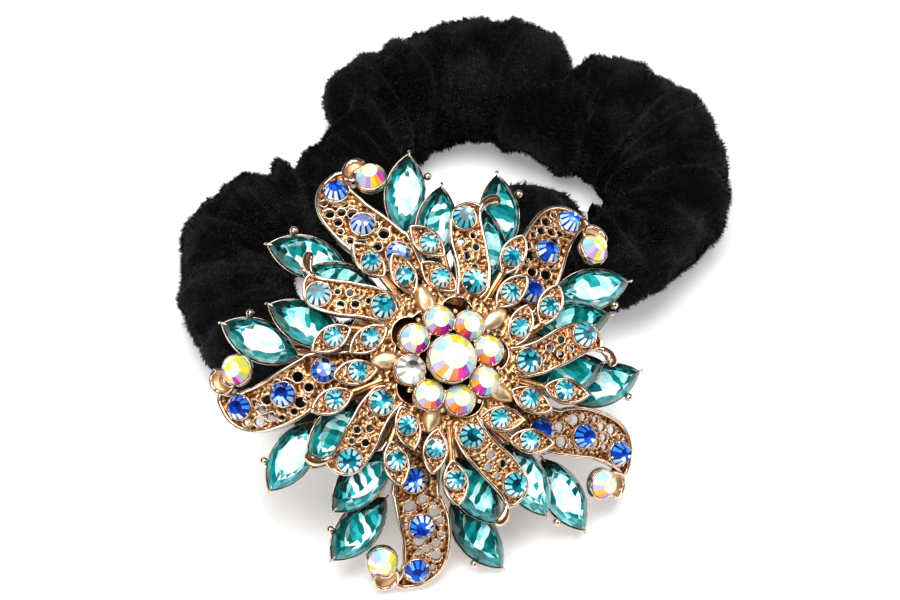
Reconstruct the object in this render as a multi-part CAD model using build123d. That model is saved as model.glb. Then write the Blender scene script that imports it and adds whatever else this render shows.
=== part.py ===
# A jewelled hair tie: a plush scrunchie with a layered flower brooch of cut stones fixed on its front.
# Millimetres, +Z up. The tie lies on a table, and the origin is the middle of its underside.
from build123d import *
import math
import os

os.makedirs("parts", exist_ok=True)

# Scrunchie
RING_RADIUS = 34.0          # middle of the cover's tube, from the middle of the ring
TUBE_RADIUS = 9.8           # a puff of the cover
COVER_WALL = 2.1            # plush cloth with its pile
FLOOR_SAG = 0.8             # how far the tube is flattened where it lies
PLEAT_DEPTH = 0.35          # small gathers along the tube
PLEAT_COUNT = 38
COVER_SECTIONS = 108
COVER_SIDES = 14
CAVITY_SIDES = 8
ELASTIC_RADIUS = 2.4
ELASTIC_SIDES = 6
ELASTIC_GAP = 0.3

# The tube's route and girth, one row for each puff or crease, all as shares:
# across and back of the ring radius, outside, inside and lift off the table of the tube radius
COVER_ROWS = [
    # across, back, outside, inside, lift
    (-0.04, -0.90, 1.12, 1.06, 0.14),
    (-0.37, -0.94, 1.04, 0.98, 0.09),
    (-0.72, -0.77, 1.00, 0.94, 0.00),
    (-0.97, -0.50, 1.02, 0.95, 0.00),
    (-1.05, -0.20, 1.04, 0.96, 0.00),
    (-1.00, 0.03, 1.05, 0.94, 0.00),
    (-0.84, 0.21, 1.02, 0.95, 0.00),
    (-0.66, 0.37, 0.77, 0.80, 0.00),
    (-0.53, 0.64, 0.82, 0.84, 0.00),
    (-0.38, 0.93, 1.05, 0.98, 0.00),
    (-0.17, 1.08, 1.04, 1.06, 0.00),
    (0.04, 1.15, 1.08, 1.08, 0.00),
    (0.33, 1.10, 1.12, 1.12, 0.00),
    (0.60, 0.91, 0.92, 0.96, 0.00),
    (0.85, 0.82, 1.12, 1.06, 0.00),
    (1.05, 0.60, 1.08, 1.02, 0.00),
    (1.12, 0.30, 1.06, 0.96, 0.00),
    (1.03, 0.02, 1.04, 0.85, 0.00),
    (0.80, -0.14, 1.00, 0.78, 0.00),
    (0.54, -0.16, 1.02, 1.02, 0.03),
    (0.27, -0.43, 1.04, 1.02, 0.09),
]

# Where the brooch sits on the cover, and how it faces
SEAT_ROW = 0                # the row of the table above that the brooch sits on
SEAT_SHIFT = -3.0           # along the tube from that row
SEAT_DENT = 0.9             # how far the back plate presses the cover in
SEAT_GAP = 0.12
BROOCH_LEAN = 36.2          # angle between the brooch's face and straight up
BROOCH_TURN = 17.7          # its face turned from the front towards +X

# Castings
METAL = 0.9                 # thickness of the cast plates
RIM_WIDTH = 0.75
RIM_HEIGHT = 0.55           # a wire rim above its plate
STACK_GAP = 0.15            # between riveted castings
RIVET_RADIUS = 2.0
BOSS_RADIUS = 4.6
PLATE_RADIUS = 15.0
PLATE_THICKNESS = 1.0

# Stones, all as diameters, and the pointed stones as length and width
SMALL_STONE = 3.0
LEAF_STONE = 3.8
CURL_STONE = 4.6
CLUSTER_STONE = 4.6
CENTRE_STONE = 7.3
MARQUISE_LENGTH = 13.0
MARQUISE_WIDTH = 6.5
STONE_GAP = 0.1             # round and under every stone
CUP_WALL = 0.38
CUP_FLOOR = 0.25            # from the plate's top to the pocket's floor
CURL_RISE = 0.5             # the stone in a curl stands on a short foot
FOOT_RADIUS = 1.5

# Lower leaves, each pierced and arched
LEAF_COUNT = 5
ARCH_SPARE = 1.1            # the bent strip that leaves are cut from is this much longer
LOWER_TURN = 46.3           # direction of the first lower leaf
LOWER_TOP = 7.4             # height of the leaves' root above the back plane
LOWER_FLAT = 14.0           # radius where the arch starts
LOWER_REACH = 35.0          # radius of the leaf's tip
LOWER_DROP = 6.6            # how far the tip hangs below the root
LOWER_HUB = 10.0
LOWER_ROOT = 0.75           # width of a leaf at its root, as a share of its first width

# Upper leaves
UPPER_TURN = 10.9
UPPER_TOP = 11.4
UPPER_FLAT = 13.0
UPPER_REACH = 26.0
UPPER_DROP = 2.0
UPPER_HUB_OUT = 12.2
UPPER_HUB_IN = 8.4
UPPER_SHIFT = (0.15, 0.7)   # the upper casting is riveted a little off the middle
SPOKE_TURN = 39.6
SPOKE_WIDTH = 3.0
PETAL_RADIUS = 9.6          # where the smooth petals stand round the cluster
PETAL_LENGTH = 5.4
PETAL_WIDTH = 3.0

# Cluster
CLUSTER_COUNT = 8
CLUSTER_RADIUS = 6.4
CLUSTER_TURN = 60.0
CLUSTER_TOP = 13.2
CENTRE_TOP = 15.2
CLUSTER_EDGE = 8.6
CLUSTER_BEVEL = 1.2         # the dome's edge is turned under by this
PRONG_COUNT = 4             # on a small cup of the cluster; the large one has twice as many

# Marquise setting
OUTER_LEVEL = 1.15          # underside of the lower star
INNER_LEVEL = 5.0           # underside of the upper star
STAR_METAL = 0.8
STAR_HUB = 9.6
DRUM_WALL = 1.2
ARM_WIDTH = 2.2
BALL_PRONG = 1.4
BALL_ALONG = 0.27           # place of the ball prong, as shares of the stone's length and width
BALL_ASIDE = 0.54

# Outlines of one lower leaf, as along the leaf and across it (+ is clockwise), both in shares
# of the leaf's reach
LOWER_LEFT = [
    # along, across
    (0.540, -0.054), (0.600, -0.086), (0.657, -0.120), (0.726, -0.143), (0.794, -0.154),
    (0.854, -0.154), (0.906, -0.137), (0.946, -0.106), (0.974, -0.063), (0.989, -0.014), (0.997, 0.023),
]
LOWER_RIGHT = [
    (0.563, 0.140), (0.620, 0.128), (0.669, 0.110), (0.737, 0.083), (0.794, 0.057),
    (0.854, 0.039), (0.906, 0.030), (0.943, 0.031), (0.969, 0.043),
]
CURL_OUT = [(0.969, 0.043), (1.000, 0.069), (1.011, 0.109), (0.997, 0.143), (0.974, 0.154)]
CURL_IN = [(0.951, 0.140), (0.960, 0.115), (0.953, 0.085), (0.925, 0.062)]

# Pierced holes of one lower leaf, as along, across and radius in shares of the reach
HOLE_SIDES = 6
LOWER_HOLES = [
    (0.849, -0.110, 0.019), (0.829, -0.060, 0.016), (0.857, -0.025, 0.014), (0.800, -0.020, 0.020),
    (0.797, -0.098, 0.017), (0.660, -0.060, 0.023), (0.652, 0.055, 0.022), (0.704, 0.040, 0.015),
    (0.694, -0.095, 0.014), (0.612, 0.000, 0.018),
]

# Outlines of one upper leaf, in shares of its reach
UPPER_LEFT = [
    (0.473, 0.012), (0.546, 0.000), (0.623, -0.025), (0.700, -0.056), (0.788, -0.073),
    (0.873, -0.075), (0.923, -0.052), (0.954, -0.006), (0.969, 0.050), (0.975, 0.085),
]
UPPER_RIGHT = [
    (0.419, 0.196), (0.504, 0.192), (0.585, 0.185), (0.658, 0.165), (0.727, 0.148),
    (0.800, 0.123), (0.873, 0.102), (0.923, 0.096),
]
HOOK = [(0.923, 0.096), (0.965, 0.108), (0.996, 0.142), (1.008, 0.185), (0.992, 0.208)]
HOOK_WIDTH = 1.25
UPPER_HOLES = [
    (0.720, 0.005, 0.023), (0.700, 0.095, 0.021), (0.640, 0.045, 0.024), (0.770, 0.070, 0.019),
    (0.575, 0.100, 0.020),
]

# Small pointed leaves round each upper leaf: radius, angle and direction, and their size
SMALL_LEAVES = [
    # radius, angle, direction
    (18.35, 27.3, 68.0), (12.6, 23.2, 71.0), (14.5, 46.3, 46.3), (19.3, 57.6, 62.0),
]
SMALL_LEAF_TIP = 4.1        # beyond the stone's middle
SMALL_LEAF_HEEL = 3.3       # behind it
SMALL_LEAF_WIDTH = 3.9
SMALL_RIM_WIDTH = 0.5
SMALL_STEM_WIDTH = 1.5

# Places of the round stones: radius and angle from the brooch's middle
SAPPHIRE_PLACES = [(32.0, 48.3), (25.4, 47.3), (18.85, 39.9)]
CURL_PLACE = (31.6, 37.7)
LEAF_STONE_PLACES = [(22.4, 10.9), (12.9, -1.1)]

# Places of the pointed stones: radius, angle and direction
OUTER_PLACES = [(28.5, 28.2, 13.0), (27.2, -4.2, 21.0)]
INNER_PLACES = [(22.4, 19.7, 11.0), (20.3, -3.0, 20.0)]

# Rings of a cut stone from its flat back to its table: reach and rise as shares, and a turn in facets.
# The two rings of full reach are the girdle.
GIRDLE_LOW = 0.28
GIRDLE_HIGH = 0.36
FINE_CUT = [
    # reach, rise, turn
    (0.60, 0.00, 0.0), (1.00, GIRDLE_LOW, 0.0), (1.00, GIRDLE_HIGH, 0.0),
    (0.80, 0.74, 0.5), (0.52, 1.00, 0.0),
]
PLAIN_CUT = [(0.60, 0.00, 0.0), (1.00, GIRDLE_LOW, 0.0), (1.00, GIRDLE_HIGH, 0.0), (0.56, 1.00, 0.0)]
FINE_SIDES = 12
PLAIN_SIDES = 8
ROUND_DEPTH = 0.56          # height of a round stone as a share of its diameter
MARQUISE_DEPTH = 0.46       # height of a pointed stone as a share of its width


def polar(radius, angle):
    a = math.radians(angle)
    return radius * math.cos(a), radius * math.sin(a)


# Cover and elastic

def route(step, count):
    """Point, direction and girths of the tube at a step out of count round the ring."""
    rows = len(COVER_ROWS)
    place = step * rows / count
    first = int(place) % rows
    f = place - int(place)
    a, b, c, d = (COVER_ROWS[(first + k - 1) % rows] for k in range(4))

    def blend(j):
        return 0.5 * (2 * b[j] + (c[j] - a[j]) * f + (2 * a[j] - 5 * b[j] + 4 * c[j] - d[j]) * f ** 2
                      + (3 * b[j] - a[j] - 3 * c[j] + d[j]) * f ** 3)

    def slope(j):
        return 0.5 * ((c[j] - a[j]) + 2 * (2 * a[j] - 5 * b[j] + 4 * c[j] - d[j]) * f
                      + 3 * (3 * b[j] - a[j] - 3 * c[j] + d[j]) * f ** 2)

    x, y = RING_RADIUS * blend(0), RING_RADIUS * blend(1)
    tx, ty = slope(0), slope(1)
    size = math.hypot(tx, ty)
    pleat = PLEAT_DEPTH * math.cos(2 * math.pi * PLEAT_COUNT * step / count)
    outside, inside = TUBE_RADIUS * blend(2) + pleat, TUBE_RADIUS * blend(3) + pleat
    rise = (outside + inside) / 2 - FLOOR_SAG + TUBE_RADIUS * blend(4)
    return (x, y), (tx / size, ty / size), outside, inside, rise


def brooch_plane():
    """The brooch's back plane, which sits on the tube and leans forward."""
    (x, y), (tx, ty), outside, inside, rise = route(SEAT_ROW, len(COVER_ROWS))
    girth = (outside + inside) / 2 - PLEAT_DEPTH
    lean, turn = math.radians(BROOCH_LEAN), math.radians(BROOCH_TURN)
    face = Vector(math.sin(lean) * math.sin(turn), -math.sin(lean) * math.cos(turn), math.cos(lean))
    middle = Vector(x - tx * SEAT_SHIFT, y - ty * SEAT_SHIFT, rise)
    across = (Vector(1, 0, 0) - face * face.X).normalized()
    return Plane(middle + face * (girth - SEAT_DENT), x_dir=across, z_dir=face)


BROOCH = brooch_plane()


def ring_points(step, count, sides, inset):
    """One section of the cover, or of its cavity if inset is the wall."""
    near = [route(step + k * count / COVER_SECTIONS, count) for k in (-1, 0, 1)]
    (x, y), (tx, ty) = near[1][0], near[1][1]
    if inset:
        outside, inside = min(n[2] for n in near), min(n[3] for n in near)
    else:
        outside, inside = near[1][2], near[1][3]
    rise = near[1][4]
    height = (outside + inside) / 2 - inset
    points = []
    for k in range(sides):
        b = 2 * math.pi * (k + 0.5) / sides - math.pi / 2
        side = (outside if math.cos(b) > 0 else inside) - inset
        reach = side * math.cos(b)
        z = max(rise + height * math.sin(b), inset)
        point = Vector(x - ty * reach, y + tx * reach, z)
        above = (point - BROOCH.origin).dot(BROOCH.z_dir) + SEAT_GAP + inset
        if above > 0:
            point = point - BROOCH.z_dir * above
        points.append(point)
    return points


def net_solid(rings):
    """Closed faceted solid from rings of points that join end to end."""
    faces = []
    count, sides = len(rings), len(rings[0])
    for i in range(count):
        here, there = rings[i], rings[(i + 1) % count]
        for k in range(sides):
            m = (k + 1) % sides
            faces.append(Face(Wire.make_polygon([here[k], there[k], there[m]])))
            faces.append(Face(Wire.make_polygon([here[k], there[m], here[m]])))
    return Solid(Shell(faces))


def scrunchie_cover():
    outer = net_solid([ring_points(i, COVER_SECTIONS, COVER_SIDES, 0) for i in range(COVER_SECTIONS)])
    half = COVER_SECTIONS // 2
    cavity = net_solid([ring_points(i, half, CAVITY_SIDES, COVER_WALL) for i in range(half)])
    return outer - cavity


def elastic_core():
    """The elastic lies against the inner side of the cavity."""
    half = COVER_SECTIONS // 2
    rings = []
    for i in range(half):
        (x, y), (tx, ty), outside, inside, rise = route(i, half)
        cavity = (inside - COVER_WALL - 2 * PLEAT_DEPTH) * math.cos(math.pi / CAVITY_SIDES)
        reach = -(cavity - ELASTIC_RADIUS - ELASTIC_GAP)
        ring = []
        for k in range(ELASTIC_SIDES):
            b = 2 * math.pi * k / ELASTIC_SIDES
            out = reach + ELASTIC_RADIUS * math.cos(b)
            ring.append(Vector(x - ty * out, y + tx * out, rise + ELASTIC_RADIUS * math.sin(b)))
        rings.append(ring)
    return net_solid(rings)


# Stones

def marquise_half_width(x, length, width):
    """Half the width of a pointed outline at x along it."""
    radius = (length ** 2 / 4 + width ** 2 / 4) / width
    return math.sqrt(max(radius ** 2 - x ** 2, 0)) - (radius - width / 2)


def polygon_face(points):
    return Face(Wire.make_polygon(points))


def cut_stone(length, width, height, cut, sides):
    """Faceted stone with a flat back, a girdle, crown facets and a table."""
    rings = []
    for reach, rise, turn in cut:
        ring = []
        for k in range(sides):
            a = 2 * math.pi * (k + turn) / sides
            x = length / 2 * math.cos(a)
            y = width / 2 * math.sin(a)
            if length != width and turn == round(turn) and k % (sides // 2) == 0:
                y = 0
            elif length != width:
                y = math.copysign(marquise_half_width(x, length, width), y)
            ring.append(Vector(x * reach, y * reach, height * rise))
        rings.append(ring)
    faces = [polygon_face(rings[0]), polygon_face(rings[-1])]
    for lower, upper, row, next_row in zip(rings, rings[1:], cut, cut[1:]):
        for k in range(sides):
            m = (k + 1) % sides
            if row[2] < next_row[2]:
                faces.append(polygon_face([lower[k], lower[m], upper[k]]))
                faces.append(polygon_face([lower[m], upper[m], upper[k]]))
            elif row[2] > next_row[2]:
                faces.append(polygon_face([lower[k], upper[m], upper[k]]))
                faces.append(polygon_face([lower[k], lower[m], upper[m]]))
            else:
                faces.append(polygon_face([lower[k], lower[m], upper[m], upper[k]]))
    return Solid(Shell(faces))


def fine_stone(diameter):
    return cut_stone(diameter, diameter, diameter * ROUND_DEPTH, FINE_CUT, FINE_SIDES)


def plain_stone(diameter):
    return cut_stone(diameter, diameter, diameter * ROUND_DEPTH, PLAIN_CUT, PLAIN_SIDES)


def marquise():
    return cut_stone(MARQUISE_LENGTH, MARQUISE_WIDTH, MARQUISE_WIDTH * MARQUISE_DEPTH, FINE_CUT, FINE_SIDES)


# Arched leaves and where things sit on them

def arch_bend(arch):
    """Radius of an arch that hangs by its drop between its flat root and its reach."""
    _, flat, reach, drop = arch
    return ((reach - flat) ** 2 + drop ** 2) / (2 * drop)


def arch_place(radius, angle, turn, arch):
    """Location on an arched leaf's top, with +Z square to its surface. The leaf points to turn."""
    top, flat = arch[0], arch[1]
    bend = arch_bend(arch)
    along, aside = polar(radius, angle - turn)
    tilt = math.asin(max(along - flat, 0) / bend)
    sink = bend * (1 - math.cos(tilt))
    return Rot(0, 0, turn) * Pos(along, aside, top - sink) * Rot(0, math.degrees(tilt), 0)


def arch_strip(arch, above, below):
    """Bent strip along +X with the arch of the leaves, from below to above its plate's top."""
    top, flat, reach, _ = arch
    bend = arch_bend(arch)
    spread = math.asin(ARCH_SPARE * (reach - flat) / bend)

    def point(offset, share):
        a = spread * share
        return flat + (bend + offset) * math.sin(a), top - bend + (bend + offset) * math.cos(a)

    profile = make_face([
        Line((0, top - below), (flat, top - below)),
        ThreePointArc(point(-below, 0), point(-below, 0.5), point(-below, 1)),
        Line(point(-below, 1), point(above, 1)),
        ThreePointArc(point(above, 1), point(above, 0.5), point(above, 0)),
        Line((flat, top + above), (0, top + above)),
        Line((0, top + above), (0, top - below)),
    ])
    return extrude(Plane.XZ * profile, amount=reach / 2, both=True)


LOWER_ARCH = (LOWER_TOP, LOWER_FLAT, LOWER_REACH, LOWER_DROP)
UPPER_ARCH = (UPPER_TOP, UPPER_FLAT, UPPER_REACH, UPPER_DROP)


def scaled(rows, size):
    """Outline points in millimetres, with across turned so that + is clockwise."""
    return [(along * size, -across * size) for along, across in rows]


def outline(points):
    return make_face(Polyline(*points, close=True))


def strip(points, width):
    """Flat band of one width along a line through the points."""
    left, right = [], []
    for i, (x, y) in enumerate(points):
        ax, ay = points[max(i - 1, 0)]
        bx, by = points[min(i + 1, len(points) - 1)]
        size = math.hypot(bx - ax, by - ay)
        nx, ny = -(by - ay) / size * width / 2, (bx - ax) / size * width / 2
        left.append((x + nx, y + ny))
        right.append((x - nx, y - ny))
    return outline(left + right[::-1])


def raise_leaf(plan, arch, above, below):
    """A flat plan cut out of the bent strip."""
    return extrude(plan, amount=arch[0] + above + 1) & arch_strip(arch, above, below)


def around(shape, turn):
    """Copies of a shape round the middle, one for each leaf."""
    return [Rot(0, 0, turn + k * 360 / LEAF_COUNT) * shape for k in range(LEAF_COUNT)]


def all_round(places):
    """Every place repeated round the brooch, one for each leaf."""
    step = 360 / LEAF_COUNT
    return [(place[0],) + tuple(angle + k * step for angle in place[1:])
            for k in range(LEAF_COUNT) for place in places]


# Cups for the stones

def post(radius, low, high):
    """Upright round bar between two heights."""
    return Pos(0, 0, low) * Cylinder(radius, high - low, align=(Align.CENTER, Align.CENTER, Align.MIN))


def cup_height(depth):
    return CUP_FLOOR + STONE_GAP + depth * GIRDLE_HIGH


def round_cup(diameter, sunk, prongs):
    """Cup whose stone stands on z = 0, going down into its plate by sunk."""
    pocket = diameter / 2 + STONE_GAP
    height = cup_height(diameter * ROUND_DEPTH)
    cup = post(pocket + CUP_WALL, -sunk, height)
    for k in range(prongs):
        x, y = polar(pocket + CUP_WALL, 360 * (k + 0.5) / prongs)
        cup += Pos(x, y, 0) * post(CUP_WALL, 0, height + 2 * STONE_GAP)
    return cup


def round_pocket(diameter):
    return post(diameter / 2 + STONE_GAP, CUP_FLOOR, diameter)


def pointed_face(grow):
    """Outline of a pointed stone, grown evenly on all sides."""
    half, wide = MARQUISE_LENGTH / 2 + 2 * grow, MARQUISE_WIDTH / 2 + grow
    return make_face([
        ThreePointArc((-half, 0), (0, wide), (half, 0)), ThreePointArc((half, 0), (0, -wide), (-half, 0))])


def pointed_cup(ball):
    """Cup for a pointed stone, with a ball prong on its clockwise side."""
    height = cup_height(MARQUISE_WIDTH * MARQUISE_DEPTH)
    cup = extrude(pointed_face(STONE_GAP + CUP_WALL), amount=height)
    if ball:
        spot = Pos(BALL_ALONG * MARQUISE_LENGTH, -BALL_ASIDE * MARQUISE_WIDTH, height)
        cup += spot * Sphere(BALL_PRONG / 2)
    return cup - Pos(0, 0, CUP_FLOOR) * extrude(pointed_face(STONE_GAP), amount=2 * height)


def pointed_loc(place, level):
    """Place of a pointed cup's underside."""
    radius, angle, direction = place
    x, y = polar(radius, angle)
    return Pos(x, y, level) * Rot(0, 0, direction)


SHIFT_UP = Pos(*UPPER_SHIFT, 0)
STONE_REST = Pos(0, 0, CUP_FLOOR + STONE_GAP)
BORE = RIVET_RADIUS + STACK_GAP


def sapphire_locs():
    return [arch_place(radius, angle, LOWER_TURN, LOWER_ARCH) for radius, angle in SAPPHIRE_PLACES]


def curl_loc():
    return arch_place(*CURL_PLACE, LOWER_TURN, LOWER_ARCH) * Pos(0, 0, CURL_RISE)


def leaf_stone_locs():
    return [arch_place(radius, angle, UPPER_TURN, UPPER_ARCH) for radius, angle in LEAF_STONE_PLACES]


def small_stone_locs():
    places = all_round([leaf[:2] for leaf in SMALL_LEAVES])
    return [Pos(*polar(radius, angle), UPPER_TOP) for radius, angle in places]


def cluster_locs():
    step = 360 / CLUSTER_COUNT
    return [Pos(*polar(CLUSTER_RADIUS, CLUSTER_TURN + k * step), CLUSTER_TOP) for k in range(CLUSTER_COUNT)]


# Castings

def back_plate():
    plate = post(PLATE_RADIUS, 0, PLATE_THICKNESS)
    return plate + post(RIVET_RADIUS, PLATE_THICKNESS / 2, UPPER_TOP + METAL)


def marquise_setting():
    """Two stars of pointed cups, joined by a drum."""
    body = post(STAR_HUB, OUTER_LEVEL, INNER_LEVEL + STAR_METAL)
    body -= post(STAR_HUB - DRUM_WALL, OUTER_LEVEL + STAR_METAL, INNER_LEVEL)
    body -= post(BOSS_RADIUS + STACK_GAP, INNER_LEVEL - STAR_METAL, INNER_LEVEL + 2 * STAR_METAL)
    body -= post(BORE, 0, 2 * INNER_LEVEL)
    start = STAR_HUB - DRUM_WALL / 2
    for places, level, ball in ((OUTER_PLACES, OUTER_LEVEL, True), (INNER_PLACES, INNER_LEVEL, False)):
        arms = []
        for radius, angle, _ in all_round(places):
            arm = Box(radius - start, ARM_WIDTH, STAR_METAL, align=(Align.MIN, Align.CENTER, Align.MIN))
            arms.append(Rot(0, 0, angle) * Pos(start, 0, level) * arm)
        cup = pointed_cup(ball)
        cups = [pointed_loc(place, level + STAR_METAL - CUP_FLOOR) * cup for place in all_round(places)]
        hollow = extrude(pointed_face(STONE_GAP), amount=3 * STAR_METAL)
        pockets = [pointed_loc(place, level + STAR_METAL) * hollow for place in all_round(places)]
        body = body + arms + cups - pockets
    return body


def lower_leaf():
    """One lower leaf along +X with its rims, its curl and its four cups."""
    left, right = scaled(LOWER_LEFT, LOWER_REACH), scaled(LOWER_RIGHT, LOWER_REACH)
    curl_out, curl_in = scaled(CURL_OUT, LOWER_REACH), scaled(CURL_IN, LOWER_REACH)
    root = LOWER_HUB - METAL
    roots = [(root, LOWER_ROOT * side[0][1]) for side in (left, right)]
    blade = outline(roots[:1] + left + right[::-1] + roots[1:])
    holes = [Pos(x * LOWER_REACH, -y * LOWER_REACH) * RegularPolygon(size * LOWER_REACH, HOLE_SIDES)
             for x, y, size in LOWER_HOLES]
    web_end = ((curl_out[2][0] + curl_in[1][0]) / 2, (curl_out[2][1] + curl_in[1][1]) / 2)
    web = strip([polar(CURL_PLACE[0], CURL_PLACE[1] - LOWER_TURN), web_end], 2 * FOOT_RADIUS)
    plan = blade - holes + outline(curl_out + curl_in) + web
    rims = strip(left, RIM_WIDTH) + strip(right + curl_out[1:], RIM_WIDTH)
    leaf = raise_leaf(plan, LOWER_ARCH, 0, METAL)
    leaf += raise_leaf(rims, LOWER_ARCH, RIM_HEIGHT, METAL + STONE_GAP)
    back = Rot(0, 0, -LOWER_TURN)
    spots, curl = [back * loc for loc in sapphire_locs()], back * curl_loc()
    leaf += [spot * round_cup(LEAF_STONE, METAL / 2, 0) for spot in spots]
    leaf += [curl * round_cup(CURL_STONE, 0, 0), curl * post(FOOT_RADIUS, -CURL_RISE - METAL, CUP_FLOOR)]
    return leaf - [spot * round_pocket(LEAF_STONE) for spot in spots] - curl * round_pocket(CURL_STONE)


def lower_leaf_casting():
    hub = post(LOWER_HUB, LOWER_TOP - METAL - STONE_GAP, LOWER_TOP + STONE_GAP)
    hub += post(BOSS_RADIUS, OUTER_LEVEL + STAR_METAL + STACK_GAP, LOWER_TOP)
    return hub + around(lower_leaf(), LOWER_TURN) - post(BORE, 0, 2 * LOWER_TOP)


def small_leaf_outline(inset):
    """Pointed oval leaf along +X with its stone at the middle."""
    tip, heel = SMALL_LEAF_TIP - 2 * inset, 2 * inset - SMALL_LEAF_HEEL
    half = SMALL_LEAF_WIDTH / 2 - inset
    widest = (tip + heel) / 2
    return make_face([
        ThreePointArc((heel, 0), (widest, half), (tip, 0)), ThreePointArc((tip, 0), (widest, -half), (heel, 0))])


def upper_leaf():
    """One pierced upper leaf along +X with its rims, its hook and its two cups."""
    left, right = scaled(UPPER_LEFT, UPPER_REACH), scaled(UPPER_RIGHT, UPPER_REACH)
    root = UPPER_HUB_IN + METAL
    blade = outline([(root, left[0][1])] + left + right[::-1] + [(root, right[0][1])])
    holes = [Pos(x * UPPER_REACH, -y * UPPER_REACH) * RegularPolygon(size * UPPER_REACH, HOLE_SIDES)
             for x, y, size in UPPER_HOLES]
    hook = strip(scaled(HOOK, UPPER_REACH), HOOK_WIDTH)
    rims = strip(left, RIM_WIDTH) + strip(right, RIM_WIDTH) + hook
    leaf = raise_leaf(blade - holes, UPPER_ARCH, 0, METAL)
    return leaf + raise_leaf(rims, UPPER_ARCH, RIM_HEIGHT, METAL + STONE_GAP)


def upper_leaf_casting():
    flat = Circle(UPPER_HUB_OUT) - Circle(UPPER_HUB_IN) + Circle(BOSS_RADIUS)
    flat += around(Pos(UPPER_HUB_OUT / 2, 0) * Rectangle(UPPER_HUB_OUT, SPOKE_WIDTH), SPOKE_TURN)
    small, small_rim = small_leaf_outline(0), small_leaf_outline(0) - small_leaf_outline(SMALL_RIM_WIDTH)
    rims = []
    for radius, angle, direction in all_round(SMALL_LEAVES):
        place = Pos(*polar(radius, angle)) * Rot(0, 0, direction)
        heel = (place * Pos(-SMALL_LEAF_HEEL / 2, 0)).position
        foot = polar(UPPER_HUB_OUT - SMALL_STEM_WIDTH, angle - (direction - angle) / 3)
        flat += [place * small, strip([foot, (heel.X, heel.Y)], SMALL_STEM_WIDTH)]
        rims.append(place * small_rim)
    body = Pos(0, 0, UPPER_TOP - METAL - STONE_GAP) * extrude(flat, amount=METAL + 2 * STONE_GAP)
    body += post(BOSS_RADIUS, LOWER_TOP + 2 * STACK_GAP, UPPER_TOP)
    body += around(upper_leaf(), UPPER_TURN)
    body += [Pos(0, 0, UPPER_TOP - METAL / 2) * extrude(rim, amount=METAL / 2 + RIM_HEIGHT) for rim in rims]
    petal = scale(Sphere(1), by=(PETAL_LENGTH / 2, PETAL_WIDTH / 2, METAL))
    body += around(Pos(PETAL_RADIUS, 0, UPPER_TOP) * petal, SPOKE_TURN)
    spots = [turn * loc for turn in around(Location(), 0) for loc in leaf_stone_locs()]
    small_spots = small_stone_locs()
    body += [spot * round_cup(LEAF_STONE, METAL / 2, 0) for spot in spots]
    body += [spot * round_cup(SMALL_STONE, METAL / 2, 0) for spot in small_spots]
    body -= [spot * round_pocket(LEAF_STONE) for spot in spots]
    body -= [spot * round_pocket(SMALL_STONE) for spot in small_spots]
    return SHIFT_UP * body - post(BORE, 0, 2 * UPPER_TOP)


def cluster_casting():
    """A stepped dome with one large and eight smaller cups."""
    low = UPPER_TOP + STACK_GAP
    core = CENTRE_STONE / 2 + STONE_GAP
    profile = make_face(Polyline(
        (0, low), (BOSS_RADIUS, low), (CLUSTER_EDGE - CLUSTER_BEVEL, CLUSTER_TOP - METAL),
        (CLUSTER_EDGE, CLUSTER_TOP - METAL / 2), (CLUSTER_EDGE - CUP_WALL, CLUSTER_TOP),
        (core + CUP_WALL, CLUSTER_TOP), (core, CENTRE_TOP), (0, CENTRE_TOP), close=True))
    body = revolve(Plane.XZ * profile, axis=Axis.Z)
    spots, middle = cluster_locs(), Pos(0, 0, CENTRE_TOP)
    body += [spot * round_cup(CLUSTER_STONE, METAL / 2, PRONG_COUNT) for spot in spots]
    body += middle * round_cup(CENTRE_STONE, METAL, 2 * PRONG_COUNT)
    body -= [spot * round_pocket(CLUSTER_STONE) for spot in spots] + [middle * round_pocket(CENTRE_STONE)]
    return body - post(BORE, 0, UPPER_TOP + METAL + STACK_GAP)


# Assembly

def brooch_pieces():
    """Every piece of the brooch in its own frame, by name: its back plane is z = 0."""
    pieces = {"back_plate": back_plate(), "marquise_setting": marquise_setting(),
              "lower_leaf_casting": lower_leaf_casting(), "upper_leaf_casting": upper_leaf_casting(),
              "cluster_casting": cluster_casting()}
    pieces["centre_stone"] = Pos(0, 0, CENTRE_TOP) * STONE_REST * fine_stone(CENTRE_STONE)
    for k, spot in enumerate(cluster_locs(), 1):
        pieces[f"cluster_stone_{k}"] = spot * STONE_REST * fine_stone(CLUSTER_STONE)
    for k, stone in enumerate(around(curl_loc() * STONE_REST * fine_stone(CURL_STONE), 0), 1):
        pieces[f"curl_stone_{k}"] = stone
    rows = (("outer", OUTER_PLACES, OUTER_LEVEL), ("inner", INNER_PLACES, INNER_LEVEL))
    for name, places, level in rows:
        for k, place in enumerate(all_round(places), 1):
            pieces[f"{name}_marquise_{k}"] = pointed_loc(place, level + STAR_METAL + STONE_GAP) * marquise()
    leaf_stone, small_stone = plain_stone(LEAF_STONE), plain_stone(SMALL_STONE)
    turns = around(Location(), 0)
    pieces["sapphire_stones"] = [
        turn * loc * STONE_REST * leaf_stone for turn in turns for loc in sapphire_locs()]
    pieces["leaf_stones"] = [
        SHIFT_UP * turn * loc * STONE_REST * leaf_stone for turn in turns for loc in leaf_stone_locs()]
    pieces["small_leaf_stones"] = [SHIFT_UP * loc * STONE_REST * small_stone for loc in small_stone_locs()]
    return pieces


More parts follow.
